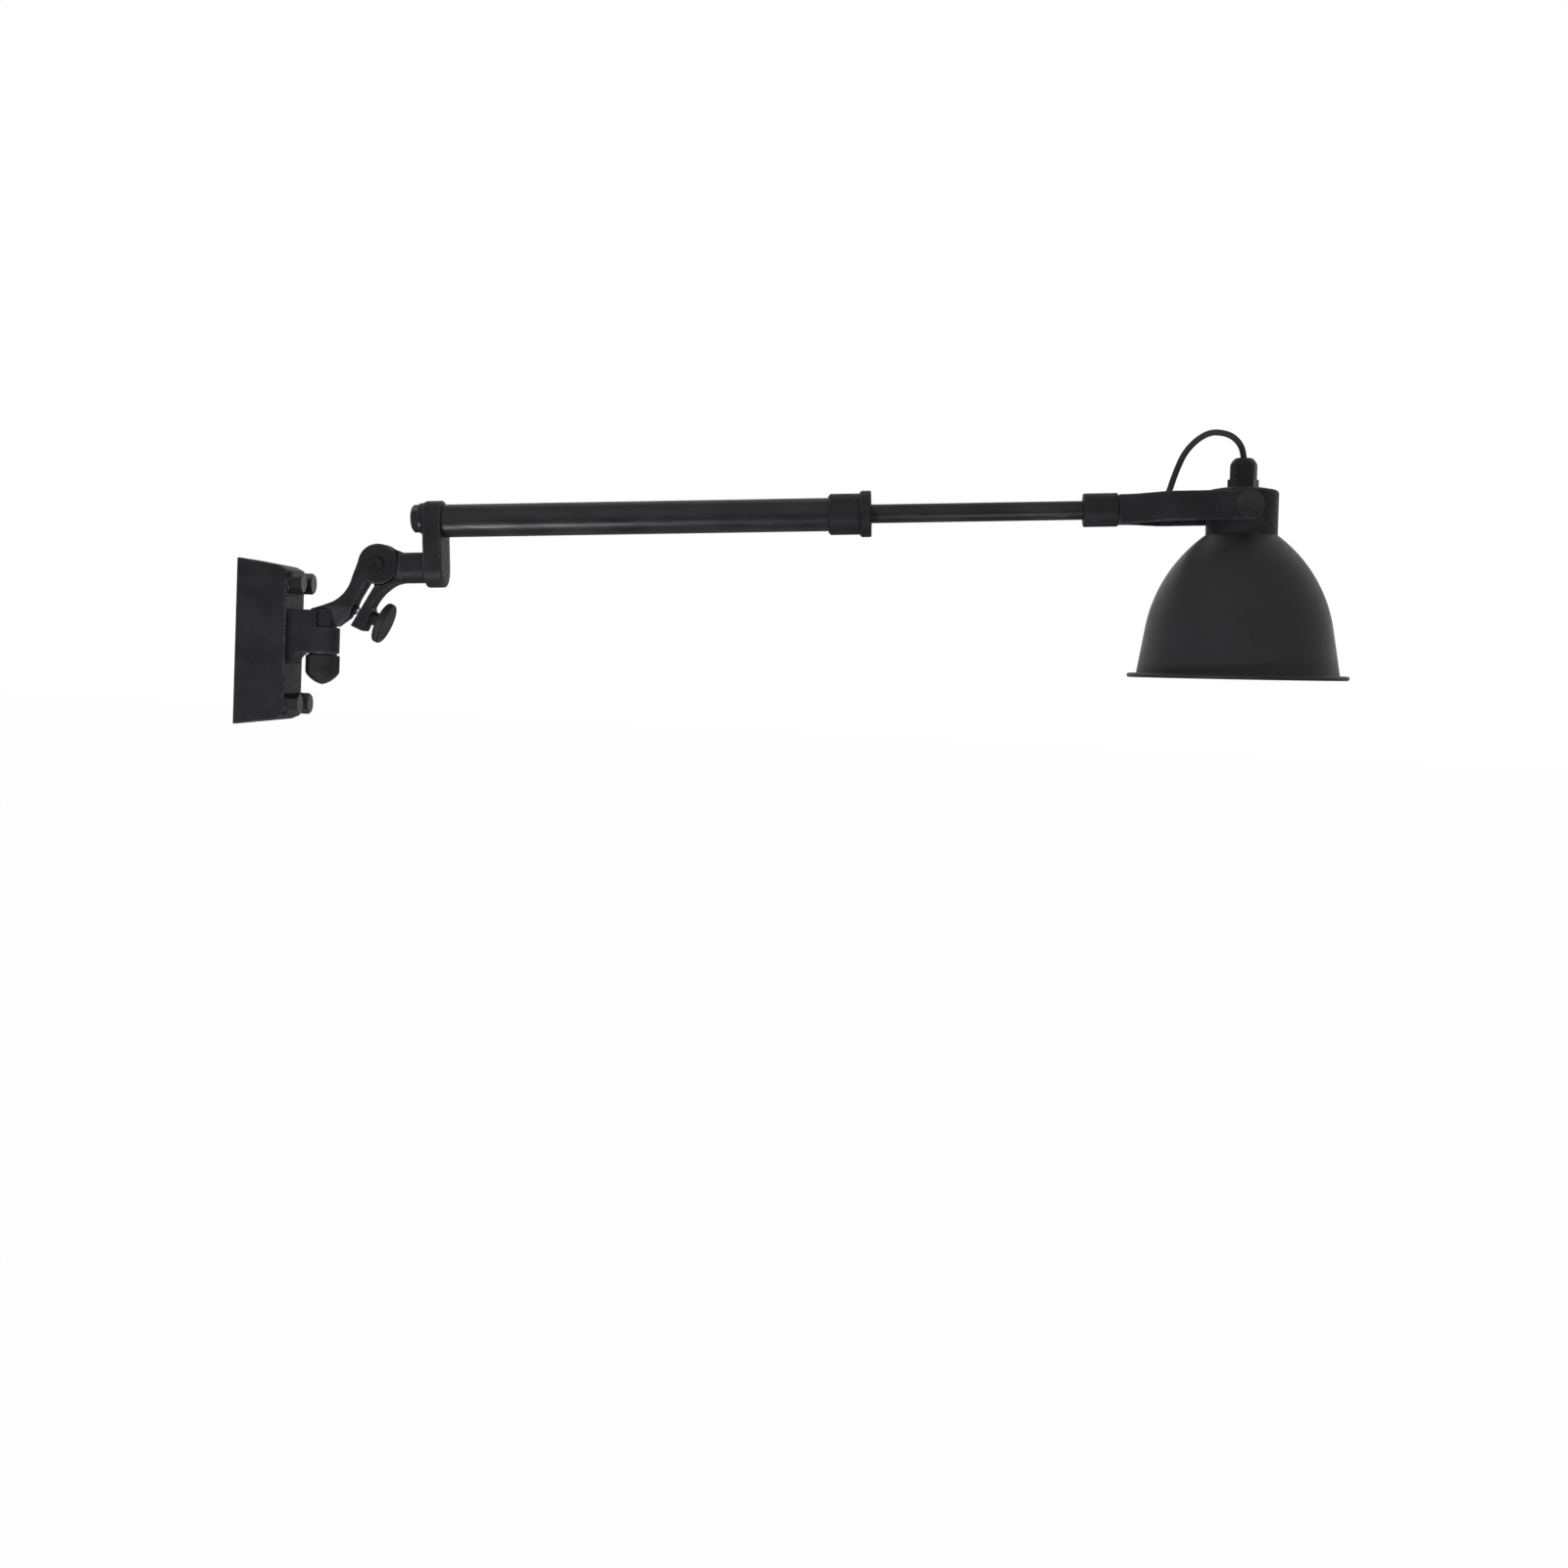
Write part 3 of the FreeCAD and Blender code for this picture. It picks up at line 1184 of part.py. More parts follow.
def make_shade():
    t = d.shade_thick
    taper = d.skirt_taper
    knee_z = RIM + d.skirt_height
    knee_r = d.skirt_radius - tangent(taper) * d.skirt_height
    brim = RIM + d.brim_height
    foot_r = d.skirt_radius - tangent(taper) * d.brim_height
    bead = d.bead_radius
    bead_mid = d.brim_radius - bead
    bead_in = bead_mid - root(bead * bead - t * t / 4)
    hole = d.nipple_radius + d.hole_gap
    inner_knee_r = knee_r - t * cosine(taper)
    inner_knee_z = knee_z - t * sine(taper)
    inner_foot_r = foot_r - t / cosine(taper)
    shell = turned([
        (hole, TOP), (d.cap_radius, TOP, Bow(d.crown_round, -1)), (knee_r, knee_z),
        (foot_r, brim + t / 2), (bead_in, brim + t / 2, Bow(bead, -1)),
        (d.brim_radius, brim, Bow(bead, -1)), (bead_in, brim - t / 2),
        (inner_foot_r, brim - t / 2), (inner_knee_r, inner_knee_z, Bow(d.crown_round - t, 1)),
        (d.cap_radius - t * 0.6, TOP - t), (hole, TOP - t)])
    holes = [cylinder(d.shade_screw_radius + d.hole_gap, t + 2, (x, y, TOP - t - 1))
             for x, y in shade_screw_places()]
    finish(cut(shell, *holes), "shade", SHADE)

    screws = []
    for x, y in shade_screw_places():
        under = TOP - t
        head = cylinder(d.shade_screw_head_radius, 1.6, (x, y, under - 1.6))
        shank = cylinder(d.shade_screw_radius, d.shade_screw_reach + t - 1, (x, y, under))
        screws.append(fuse(head, shank))
    finish(group(*screws), "shade_screws", SHADE)


def make_lampholder():
    under = TOP - d.shade_thick
    bore = d.nipple_radius + d.seat_gap
    finish(ring(d.nipple_radius, d.nipple_bore, d.nipple_up + d.shade_thick + d.nipple_down,
                (0, 0, under - d.nipple_down)), "holder_nipple", SHADE)
    nut = hexagon(d.holder_nut_across, d.holder_nut_thick, (0, 0, TOP))
    finish(cut(nut, cylinder(bore, d.holder_nut_thick + 2, (0, 0, TOP - 1))), "holder_nut", SHADE)

    low = under - d.holder_length
    step = under - d.holder_neck
    socket = d.bulb_cap_radius + 0.4
    socket_top = low + d.bulb_cap_length - d.bulb_cap_out + 0.5
    finish(turned([
        (bore, under), (d.holder_shoulder - 3, under), (d.holder_shoulder, under - 3),
        (d.holder_shoulder, step), (d.holder_radius, step - 4), (d.holder_radius, low),
        (socket, low), (socket, socket_top), (bore, socket_top)]), "lampholder", SHADE)

    cap_top = low + d.bulb_cap_length - d.bulb_cap_out
    cap_low = low - d.bulb_cap_out
    finish(turned([
        (0, cap_top), (4, cap_top), (6, cap_top - 2), (d.bulb_cap_radius - 0.8, cap_top - 5),
        (d.bulb_cap_radius, cap_top - 6), (d.bulb_cap_radius, cap_low), (0, cap_low)]), "bulb_cap", SHADE)

    r = d.bulb_radius
    neck = d.bulb_neck_radius
    centre = cap_low - (d.bulb_drop - r)
    join = r * 0.75
    join_z = centre + root(r * r - join * join)
    w = d.glass_wall
    finish(turned([
        (neck - w, cap_low), (neck, cap_low), (neck, cap_low - 3, Bow(18, -1)), (join, join_z, Bow(r, -1)),
        (r, centre, Bow(r, -1)), (0, centre - r), (0, centre - r + w, Bow(r - w, 1)),
        (r - w, centre, Bow(r - w, 1)), (join - w, join_z, Bow(20, 1)), (neck - w, cap_low - 3)]),
        "bulb_glass", SHADE)


def make_gland():
    seat = d.cap_seat
    hexed = hexagon(d.gland_across, d.gland_hex, (0, 0, seat))
    thread = cylinder(d.gland_thread_radius, d.gland_thread, (0, 0, seat - d.gland_thread))
    neck_start = seat + d.gland_hex
    neck = cylinder(d.gland_neck_radius, d.gland_neck, (0, 0, neck_start))
    bore = cylinder(d.gland_bore, d.gland_thread + d.gland_hex + d.gland_neck + 2,
                    (0, 0, seat - d.gland_thread - 1))
    finish(cut(fuse(hexed, thread, neck), bore), "gland_body", SHADE)

    ceiling = seat - d.cap_roof
    nut = hexagon(d.locknut_across, d.locknut_thick, (0, 0, ceiling - d.locknut_thick))
    finish(cut(nut, cylinder(d.gland_thread_radius + d.seat_gap, d.locknut_thick + 2,
                             (0, 0, ceiling - d.locknut_thick - 1))), "gland_locknut", SHADE)

    start = neck_start + d.run_gap
    top = start + d.dome_height
    seal_room = start + d.seal_low - 0.2
    seal_top = start + d.seal_low + d.seal_length + 0.2
    inner = d.gland_neck_radius + d.run_gap
    mouth = d.cable_radius + 0.5
    outline = turned([
        (inner, start), (d.dome_radius, start), (d.dome_radius, start + d.dome_straight, Bow(12, 1)),
        (d.dome_top_radius, top), (mouth, top), (mouth, seal_top), (d.seal_radius + 0.1, seal_top),
        (d.seal_radius + 0.1, seal_room), (inner, seal_room)])
    finish(common(hexagon(d.dome_across, d.dome_height + 2, (0, 0, start - 1)), outline), "gland_nut", SHADE)
    finish(ring(d.seal_radius, d.cable_radius + d.run_gap, d.seal_length, (0, 0, start + d.seal_low)),
           "gland_seal", SHADE)


# ---------------------------------------------------------------- build, check and write

for make in (make_wall_plate, make_wiring, make_wall_box, make_box_bolts, make_swivel_bracket,
             make_lower_arm, make_swivel_stud, make_elbow_bolt, make_knuckle, make_stop_screw,
             make_tube, make_collar, make_rod, make_fork, make_cable, make_pivot, make_cap,
             make_shade, make_lampholder, make_gland):
    make()
doc.recompute()

for obj in doc.Objects:
    if "Invalid" in obj.State or "Error" in obj.State:
        raise RuntimeError(f"{obj.Label} ({obj.Name}) failed: {obj.State}")
for obj in parts:
    if obj.Shape.isNull() or not obj.Shape.isValid() or not obj.Shape.Solids:
        raise RuntimeError(f"{obj.Label} has no valid solid")

os.makedirs("parts", exist_ok=True)
for obj in parts:
    obj.Shape.exportStep(f"parts/{obj.Label}.step")
    box = obj.Shape.BoundBox
    print(f"{obj.Label:18s} solids {len(obj.Shape.Solids)} volume {obj.Shape.Volume:10.1f} "
          f"x {box.XMin:7.1f} {box.XMax:7.1f} y {box.YMin:6.1f} {box.YMax:6.1f} "
          f"z {box.ZMin:7.1f} {box.ZMax:7.1f}")
print(len(parts), "nodes")
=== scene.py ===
"""Articulating wall lamp: black castings, telescopic arm, spun shade and braided cable loop."""

import json
import logging
import math
from dataclasses import dataclass, field
from enum import Enum
from typing import Any, Callable, Iterable, Sequence, Union

import bmesh
import bpy
from mathutils import Matrix, Quaternion, Vector

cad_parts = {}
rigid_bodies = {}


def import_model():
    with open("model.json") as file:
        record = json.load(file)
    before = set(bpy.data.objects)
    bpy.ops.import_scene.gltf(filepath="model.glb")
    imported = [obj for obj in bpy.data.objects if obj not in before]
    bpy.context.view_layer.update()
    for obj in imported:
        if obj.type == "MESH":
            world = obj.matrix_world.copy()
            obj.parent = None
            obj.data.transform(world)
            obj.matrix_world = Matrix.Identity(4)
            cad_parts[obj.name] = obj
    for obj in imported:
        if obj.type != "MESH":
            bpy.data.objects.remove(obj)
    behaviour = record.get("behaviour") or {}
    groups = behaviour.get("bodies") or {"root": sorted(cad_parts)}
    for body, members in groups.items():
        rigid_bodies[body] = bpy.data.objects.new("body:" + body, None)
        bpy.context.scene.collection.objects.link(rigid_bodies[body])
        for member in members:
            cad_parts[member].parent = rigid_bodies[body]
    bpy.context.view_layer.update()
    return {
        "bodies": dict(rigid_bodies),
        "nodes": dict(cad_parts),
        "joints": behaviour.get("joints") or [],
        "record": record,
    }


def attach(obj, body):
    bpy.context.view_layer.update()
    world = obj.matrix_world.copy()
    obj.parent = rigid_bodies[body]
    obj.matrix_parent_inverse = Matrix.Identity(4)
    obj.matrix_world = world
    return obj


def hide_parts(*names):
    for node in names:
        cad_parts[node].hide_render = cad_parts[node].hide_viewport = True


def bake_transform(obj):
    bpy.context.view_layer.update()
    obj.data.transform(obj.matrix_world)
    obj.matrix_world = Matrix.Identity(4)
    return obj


logging.basicConfig(level=logging.INFO, format="%(message)s")
log = logging.getLogger("wall_lamp")

Colour = tuple[float, float, float]
Point = tuple[float, float, float]
MM = 0.001
MOST_OF_NOISE = (0.3, 0.7)
ARM_RISE = math.radians(3.4)
WELD = 0.002 * MM
SEAM = 0.01 * MM


class Axis(Enum):
    """The part's axes, as unit vectors."""

    X = Vector((1, 0, 0))
    Y = Vector((0, 1, 0))
    Z = Vector((0, 0, 1))


# ------------------------------------------------------------------ shader maths


class Signal:
    """A socket of a node tree that takes part in Python expressions."""

    def __init__(self, graph: "Graph", socket: bpy.types.NodeSocket) -> None:
        """Wraps a socket.

        Args:
            graph: The node tree under construction.
            socket: The output socket that carries the value.
        """
        self.graph = graph
        self.socket = socket

    def _maths(self, operation: str, *values: Any) -> "Signal":
        """Adds a Math node.

        Args:
            operation: The Math node's operation.
            values: Its inputs, as signals or numbers.

        Returns:
            The node's result.
        """
        node = self.graph.node("ShaderNodeMath", {"operation": operation}, dict(enumerate(values)))
        return Signal(self.graph, node.outputs[0])

    def __add__(self, other: Any) -> "Signal":
        """Sum."""
        return self._maths("ADD", self, other)

    __radd__ = __add__

    def __sub__(self, other: Any) -> "Signal":
        """Difference."""
        return self._maths("SUBTRACT", self, other)

    def __rsub__(self, other: Any) -> "Signal":
        """Reflected difference, so that 1 - mask works."""
        return self._maths("SUBTRACT", other, self)

    def __mul__(self, other: Any) -> "Signal":
        """Product."""
        return self._maths("MULTIPLY", self, other)

    __rmul__ = __mul__

    def sine(self) -> "Signal":
        """Sine of the value in radians."""
        return self._maths("SINE", self)

    def at_most(self, other: Any) -> "Signal":
        """The smaller of two values."""
        return self._maths("MINIMUM", self, other)

    def at_least(self, other: Any) -> "Signal":
        """The larger of two values."""
        return self._maths("MAXIMUM", self, other)

    def ramp(self, low: float, high: float, to_low: float = 0.0, to_high: float = 1.0) -> "Signal":
        """Maps a range of values smoothly to another.

        Args:
            low: The value that gives to_low.
            high: The value that gives to_high.
            to_low: The result at low and below.
            to_high: The result at high and above.

        Returns:
            The mapped value.
        """
        settings = {"interpolation_type": "SMOOTHSTEP"}
        values = {"Value": self, "From Min": low, "From Max": high, "To Min": to_low,
                  "To Max": to_high}
        node = self.graph.node("ShaderNodeMapRange", settings, values)
        return Signal(self.graph, node.outputs[0])

    def spread(self, to_low: float = 0.0, to_high: float = 1.0) -> "Signal":
        """Maps the values that most of a noise takes to a wider range.

        Args:
            to_low: The result at the low end.
            to_high: The result at the high end.

        Returns:
            The mapped value.
        """
        return self.ramp(*MOST_OF_NOISE, to_low, to_high)


Value = Union[Signal, float, int, Sequence[float]]


class Graph:
    """A node tree under construction."""

    def __init__(self, owner: Union[bpy.types.Material, bpy.types.World]) -> None:
        """Empties the owner's node tree.

        Args:
            owner: The material or world.
        """
        owner.use_nodes = True
        self.tree = owner.node_tree
        self.tree.nodes.clear()

    def feed(self, socket: bpy.types.NodeSocket, value: Value) -> None:
        """Sets or links one input.

        Args:
            socket: The input socket.
            value: A signal to link, or a number or colour to set.
        """
        if isinstance(value, Signal):
            self.tree.links.new(value.socket, socket)
        elif hasattr(socket.default_value, "__len__") and len(socket.default_value) == 4:
            socket.default_value = (*tuple(value)[:3], 1.0)
        else:
            socket.default_value = value

    def node(self, kind: str, settings: dict[str, Any], values: dict[Any, Value]) -> bpy.types.Node:
        """Adds a node of any type.

        Args:
            kind: The node's type.
            settings: Its properties, set first.
            values: Its input values, by socket name or number.

        Returns:
            The node.
        """
        made = self.tree.nodes.new(kind)
        for name, setting in settings.items():
            setattr(made, name, setting)
        for name, value in values.items():
            self.feed(made.inputs[name], value)
        return made

    def light_path(self, ray: str) -> Signal:
        """Whether a ray is of a kind.

        Args:
            ray: The Light Path node's output.

        Returns:
            1 for such a ray, and 0 for others.
        """
        return Signal(self, self.node("ShaderNodeLightPath", {}, {}).outputs[ray])


class Paint(Graph):
    """A node-based material, built from one Principled shader."""

    def __init__(self, name: str) -> None:
        """Starts an empty material.

        Args:
            name: The material's name.
        """
        self.material = bpy.data.materials.new(name)
        super().__init__(self.material)
        self.shader = self.tree.nodes.new("ShaderNodeBsdfPrincipled")
        self.output = self.tree.nodes.new("ShaderNodeOutputMaterial")
        self.tree.links.new(self.shader.outputs[0], self.output.inputs["Surface"])

    def place(self) -> Signal:
        """The point on the surface, in the part's frame."""
        return Signal(self, self.node("ShaderNodeTexCoord", {}, {}).outputs["Object"])

    def attribute(self, name: str) -> Signal:
        """A value that the mesh carries.

        Args:
            name: The attribute's name.

        Returns:
            The attribute's factor.
        """
        node = self.node("ShaderNodeAttribute", {"attribute_name": name}, {})
        return Signal(self, node.outputs["Fac"])

    def uv(self) -> tuple[Signal, Signal]:
        """The two coordinates of the piece's UV map.

        Returns:
            The first and the second coordinate.
        """
        spot = Signal(self, self.node("ShaderNodeUVMap", {}, {}).outputs[0])
        split = self.node("ShaderNodeSeparateXYZ", {}, {0: spot})
        return Signal(self, split.outputs[0]), Signal(self, split.outputs[1])

    def noise(self, size: float, detail: float = 3.0, roughness: float = 0.55,
              stretch: Point = (1, 1, 1), lean: float = 0.0) -> Signal:
        """Noise whose features have a real size.

        Args:
            size: The features' size in metres.
            detail: How many finer layers it has.
            roughness: How strong the finer layers are.
            stretch: How many times longer the features are along each axis.
            lean: How far the pattern is turned about Y, in radians.

        Returns:
            A value from 0 to 1.
        """
        turned = {"Vector": self.place(), "Rotation": (0, lean, 0),
                  "Scale": tuple(1 / s for s in stretch)}
        mapped = self.node("ShaderNodeMapping", {}, turned)
        values = {"Vector": Signal(self, mapped.outputs[0]), "Scale": 1 / size, "Detail": detail,
                  "Roughness": roughness}
        return Signal(self, self.node("ShaderNodeTexNoise", {}, values).outputs[0])

    def blend(self, factor: Value, low: Value, high: Value) -> Signal:
        """A mix of two colours.

        Args:
            factor: 0 gives low and 1 gives high.
            low: The first colour.
            high: The second colour.

        Returns:
            The mixed colour.
        """
        node = self.node("ShaderNodeMix", {"data_type": "RGBA"}, {})
        for number, value in ((0, factor), (6, low), (7, high)):
            self.feed(node.inputs[number], value)
        return Signal(self, node.outputs[2])

    def bump(self, height: Signal, depth: float, over: Union[Signal, None] = None) -> Signal:
        """Relief on the surface.

        Args:
            height: The relief, from 0 to 1.
            depth: What 1 stands for, in metres.
            over: An earlier relief that this one is added to.

        Returns:
            The normal.
        """
        values: dict[Any, Value] = {"Height": height, "Distance": depth, "Strength": 1.0}
        if over is not None:
            values["Normal"] = over
        return Signal(self, self.node("ShaderNodeBump", {}, values).outputs[0])

    def surface(self, **values: Value) -> bpy.types.Material:
        """Sets the shader's inputs.

        Args:
            values: The inputs, with underscores for spaces and Ior for IOR.

        Returns:
            The finished material.
        """
        names = {"Specular": "Specular IOR Level", "Transmission": "Transmission Weight",
                 "Ior": "IOR"}
        for name, value in values.items():
            self.feed(self.shader.inputs[names.get(name, name.replace("_", " "))], value)
        return self.material


# ------------------------------------------------------------------ finishes


@dataclass(frozen=True)
class Finish:
    """A finish of the lamp. Subclasses say how it is made."""

    name: str
    slot: str

    def make(self) -> bpy.types.Material:
        """Builds the material."""
        raise NotImplementedError


@dataclass(frozen=True)
class CastingBlack(Finish):
    """Satin black paint on rough castings, thin and rubbed along the edges."""

    name: str = "casting_black"
    slot: str = "powder_black"
    deep: Colour = (0.0072, 0.0072, 0.0077)
    pale: Colour = (0.0150, 0.0151, 0.0158)
    rubbed: Colour = (0.075, 0.076, 0.080)
    roughness: float = 0.50
    specular: float = 0.135
    cloud_size: float = 26 * MM
    cloud_depth: float = 0.9 * MM
    speck_size: float = 2.2 * MM
    grain: float = 1.3 * MM
    grain_depth: float = 0.11 * MM

    def make(self) -> bpy.types.Material:
        """Builds the material."""
        paint = Paint(self.name)
        clouds = paint.noise(self.cloud_size, 4)
        specks = paint.noise(self.speck_size, 5, 0.65)
        edge = paint.attribute("edge")
        rub = (edge * specks.ramp(0.35, 0.62) * clouds.ramp(0.35, 0.6, 0.25, 1.0)).at_most(1.0)
        colour = paint.blend(clouds.spread(), self.deep, self.pale)
        colour = paint.blend(rub, colour, self.rubbed)
        relief = paint.bump(paint.noise(self.grain, 4, 0.6), self.grain_depth)
        relief = paint.bump(clouds, self.cloud_depth, relief)
        rough = specks.spread(self.roughness - 0.07, self.roughness + 0.12)
        return paint.surface(Base_Color=colour, Roughness=rough, Specular=self.specular,
                             Normal=relief)


@dataclass(frozen=True)
class TubeBlack(Finish):
    """Semi-gloss black paint on drawn tube, bolts and nuts, with rubs along the arm."""

    name: str = "tube_black"
    slot: str = "tube_black"
    deep: Colour = (0.0082, 0.0082, 0.0083)
    pale: Colour = (0.0185, 0.0185, 0.0186)
    rubbed: Colour = (0.060, 0.061, 0.065)
    roughness: float = 0.33
    specular: float = 0.18
    rub_roughness: float = 0.12
    streak_size: float = 2.6 * MM
    streak_stretch: Point = (24, 1, 1)
    cloud_size: float = 15 * MM
    cloud_stretch: Point = (3, 1, 1)
    cloud_depth: float = 0.16 * MM
    speck_size: float = 1.6 * MM
    speck_depth: float = 0.030 * MM

    def make(self) -> bpy.types.Material:
        """Builds the material."""
        paint = Paint(self.name)
        streaks = paint.noise(self.streak_size, 4, 0.6, self.streak_stretch, ARM_RISE)
        clouds = paint.noise(self.cloud_size, 3, 0.5, self.cloud_stretch, ARM_RISE)
        specks = paint.noise(self.speck_size, 3)
        rub = (streaks.ramp(0.60, 0.74) * clouds.ramp(0.50, 0.68)).at_most(1.0)
        colour = paint.blend(clouds.spread(), self.deep, self.pale)
        colour = paint.blend(rub, colour, self.rubbed)
        rough = streaks.spread(self.roughness - 0.06, self.roughness + 0.12)
        rough = rough + rub * self.rub_roughness
        relief = paint.bump(specks, self.speck_depth)
        relief = paint.bump(clouds, self.cloud_depth, relief)
        return paint.surface(Base_Color=colour, Roughness=rough, Specular=self.specular,
                             Normal=relief)


@dataclass(frozen=True)
class ShadeBlack(Finish):
    """Matt black paint on a spun shade, with faint spinning rings and small knocks."""

    name: str = "shade_black"
    slot: str = "shade_black"
    deep: Colour = (0.0098, 0.0100, 0.0102)
    pale: Colour = (0.0150, 0.0152, 0.0154)
    chip: Colour = (0.055, 0.054, 0.052)
    roughness: float = 0.46
    specular: float = 0.16
    sheen: float = 0.05
    cloud_size: float = 45 * MM
    cloud_depth: float = 0.35 * MM
    speck_size: float = 1.1 * MM
    speck_depth: float = 0.022 * MM
    knock_size: float = 7 * MM
    ring_pitch: float = 2.4 * MM
    ring_stretch: Point = (60, 60, 1)
    ring_depth: float = 0.020 * MM
    lean: float = math.radians(-1.7)

    def make(self) -> bpy.types.Material:
        """Builds the material."""
        paint = Paint(self.name)
        clouds = paint.noise(self.cloud_size, 3)
        specks = paint.noise(self.speck_size, 2)
        knocks = paint.noise(self.knock_size, 2, 0.4).ramp(0.80, 0.83)
        rings = paint.noise(self.ring_pitch, 2, 0.5, self.ring_stretch, self.lean)
        colour = paint.blend(clouds.spread(), self.deep, self.pale)
        colour = paint.blend(knocks, colour, self.chip)
        relief = paint.bump(specks, self.speck_depth)
        relief = paint.bump(rings, self.ring_depth, relief)
        relief = paint.bump(clouds, self.cloud_depth, relief)
        rough = clouds.spread(self.roughness - 0.05, self.roughness + 0.06)
        return paint.surface(Base_Color=colour, Roughness=rough, Specular=self.specular,
                             Sheen_Weight=self.sheen, Normal=relief)


@dataclass(frozen=True)
class BareMetal(Finish):
    """Plain metal inside the lamp: zinc-plated steel, brass or aluminium."""

    name: str = "zinc_steel"
    slot: str = "zinc_steel"
    tone: Colour = (0.55, 0.56, 0.57)
    dull: Colour = (0.40, 0.41, 0.42)
    roughness: float = 0.34
    cloud_size: float = 5 * MM
    line_size: float = 0.7 * MM
    line_stretch: Point = (8, 1, 1)
    line_depth: float = 0.012 * MM

    def make(self) -> bpy.types.Material:
        """Builds the material."""
        paint = Paint(self.name)
        clouds = paint.noise(self.cloud_size, 4)
        lines = paint.noise(self.line_size, 2, 0.5, self.line_stretch)
        colour = paint.blend(clouds.ramp(0.35, 0.7), self.tone, self.dull)
        rough = lines.spread(self.roughness - 0.08, self.roughness + 0.14)
        relief = paint.bump(lines, self.line_depth)
        return paint.surface(Base_Color=colour, Roughness=rough, Metallic=1.0, Normal=relief)


@dataclass(frozen=True)
class Moulded(Finish):
    """Moulded plastic, rubber or porcelain, with a fine grain."""

    name: str = "black_plastic"
    slot: str = "black_plastic"
    tone: Colour = (0.0060, 0.0060, 0.0064)
    second: Colour = (0.0100, 0.0100, 0.0105)
    roughness: float = 0.36
    grain: float = 0.6 * MM
    depth: float = 0.02 * MM
    specular: float = 0.14
    coat: float = 0.0
    cloud_size: float = 6 * MM

    def make(self) -> bpy.types.Material:
        """Builds the material."""
        paint = Paint(self.name)
        clouds = paint.noise(self.cloud_size, 3)
        grain = paint.noise(self.grain, 2)
        colour = paint.blend(clouds.spread(), self.tone, self.second)
        rough = grain.spread(self.roughness - 0.05, self.roughness + 0.08)
        relief = paint.bump(grain, self.depth)
        return paint.surface(Base_Color=colour, Roughness=rough, Specular=self.specular,
                             Coat_Weight=self.coat, Normal=relief)


@dataclass(frozen=True)
class OpalGlass(Finish):
    """Frosted glass of the bulb."""

    name: str = "opal_glass"
    slot: str = "opal_glass"
    tone: Colour = (0.90, 0.89, 0.86)
    haze_size: float = 9 * MM
    haze_share: float = 0.95
    transmission: float = 0.55
    ior: float = 1.45

    def make(self) -> bpy.types.Material:
        """Builds the material."""
        paint = Paint(self.name)
        haze = paint.noise(self.haze_size, 2)
        colour = paint.blend(haze, self.tone, tuple(c * self.haze_share for c in self.tone))
        rough = haze.spread(0.34, 0.42)
        return paint.surface(Base_Color=colour, Roughness=rough, Transmission=self.transmission,
                             Ior=self.ior)


@dataclass(frozen=True)
class Braid(Finish):
    """Black textile braid: two sets of strands that cross over and under, with a painted highlight
    on the strand crowns and painted shade in the grooves between them.
    """

    name: str = "braid"
    slot: str = "braid"
    # dark is the black of the braid with painted shade in the grooves; light is a painted highlight
    # on the strand crowns.
    dark: Colour = (0.0130, 0.0130, 0.0140)
    light: Colour = (0.060, 0.060, 0.064)
    strands: int = 12
    pitch: float = 9.0 * MM
    strand_depth: float = 0.16 * MM
    fluff_size: float = 0.35 * MM
    fluff_depth: float = 0.05 * MM

    def make(self) -> bpy.types.Material:
        """Builds the material."""
        paint = Paint(self.name)
        along, around = paint.uv()
        rise = along * (math.tau * self.strands / self.pitch)
        spin = around * (math.tau * self.strands)
        right = (rise + spin).sine()
        left = (rise - spin).sine()
        weave = right.at_least(left).ramp(-0.3, 1.0)
        fluff = paint.noise(self.fluff_size, 3)
        # Painted light and shade: the crowns of the weave get the light colour and the grooves the
        # dark one, and the fluff thins the painted highlight at random.
        painted_crown_light = (weave * fluff.ramp(0.25, 0.75, 0.4, 1.0)).at_most(1.0)
        colour = paint.blend(painted_crown_light, self.dark, self.light)
        relief = paint.bump(weave, self.strand_depth)
        relief = paint.bump(fluff, self.fluff_depth, relief)
        return paint.surface(Base_Color=colour, Roughness=0.86, Specular=0.25, Sheen_Weight=0.12,
                             Normal=relief)


class Finishes:
    """All finishes of the lamp, each made once."""

    def __init__(self) -> None:
        """Makes every material."""
        chosen: list[Finish] = [
            CastingBlack(), TubeBlack(), ShadeBlack(), BareMetal(),
            BareMetal("brass", "brass", (0.70, 0.53, 0.24), (0.50, 0.36, 0.15), 0.30),
            BareMetal("bulb_metal", "bulb_metal", (0.70, 0.69, 0.66), (0.52, 0.51, 0.48), 0.28),
            Moulded(),
            Moulded("white_plastic", "white_plastic", (0.74, 0.73, 0.69), (0.66, 0.65, 0.60), 0.40),
            Moulded("rubber", "rubber", (0.016, 0.016, 0.016), (0.026, 0.026, 0.026), 0.72,
                    grain=0.5 * MM, depth=0.03 * MM, specular=0.3),
            Moulded("porcelain", "porcelain", (0.78, 0.76, 0.70), (0.72, 0.70, 0.63), 0.18,
                    grain=2 * MM, depth=0.01 * MM, specular=0.5, coat=0.3),
            OpalGlass(), Braid(),
        ]
        self.made = {f.slot: f.make() for f in chosen}

    def dress(self, piece: bpy.types.Object, slot: str) -> None:
        """Gives a piece one finish.

        Args:
            piece: The piece or node.
            slot: The record's material slot.
        """
        piece.data.materials.clear()
        piece.data.materials.append(self.made[slot])


# ------------------------------------------------------------------ mesh helpers


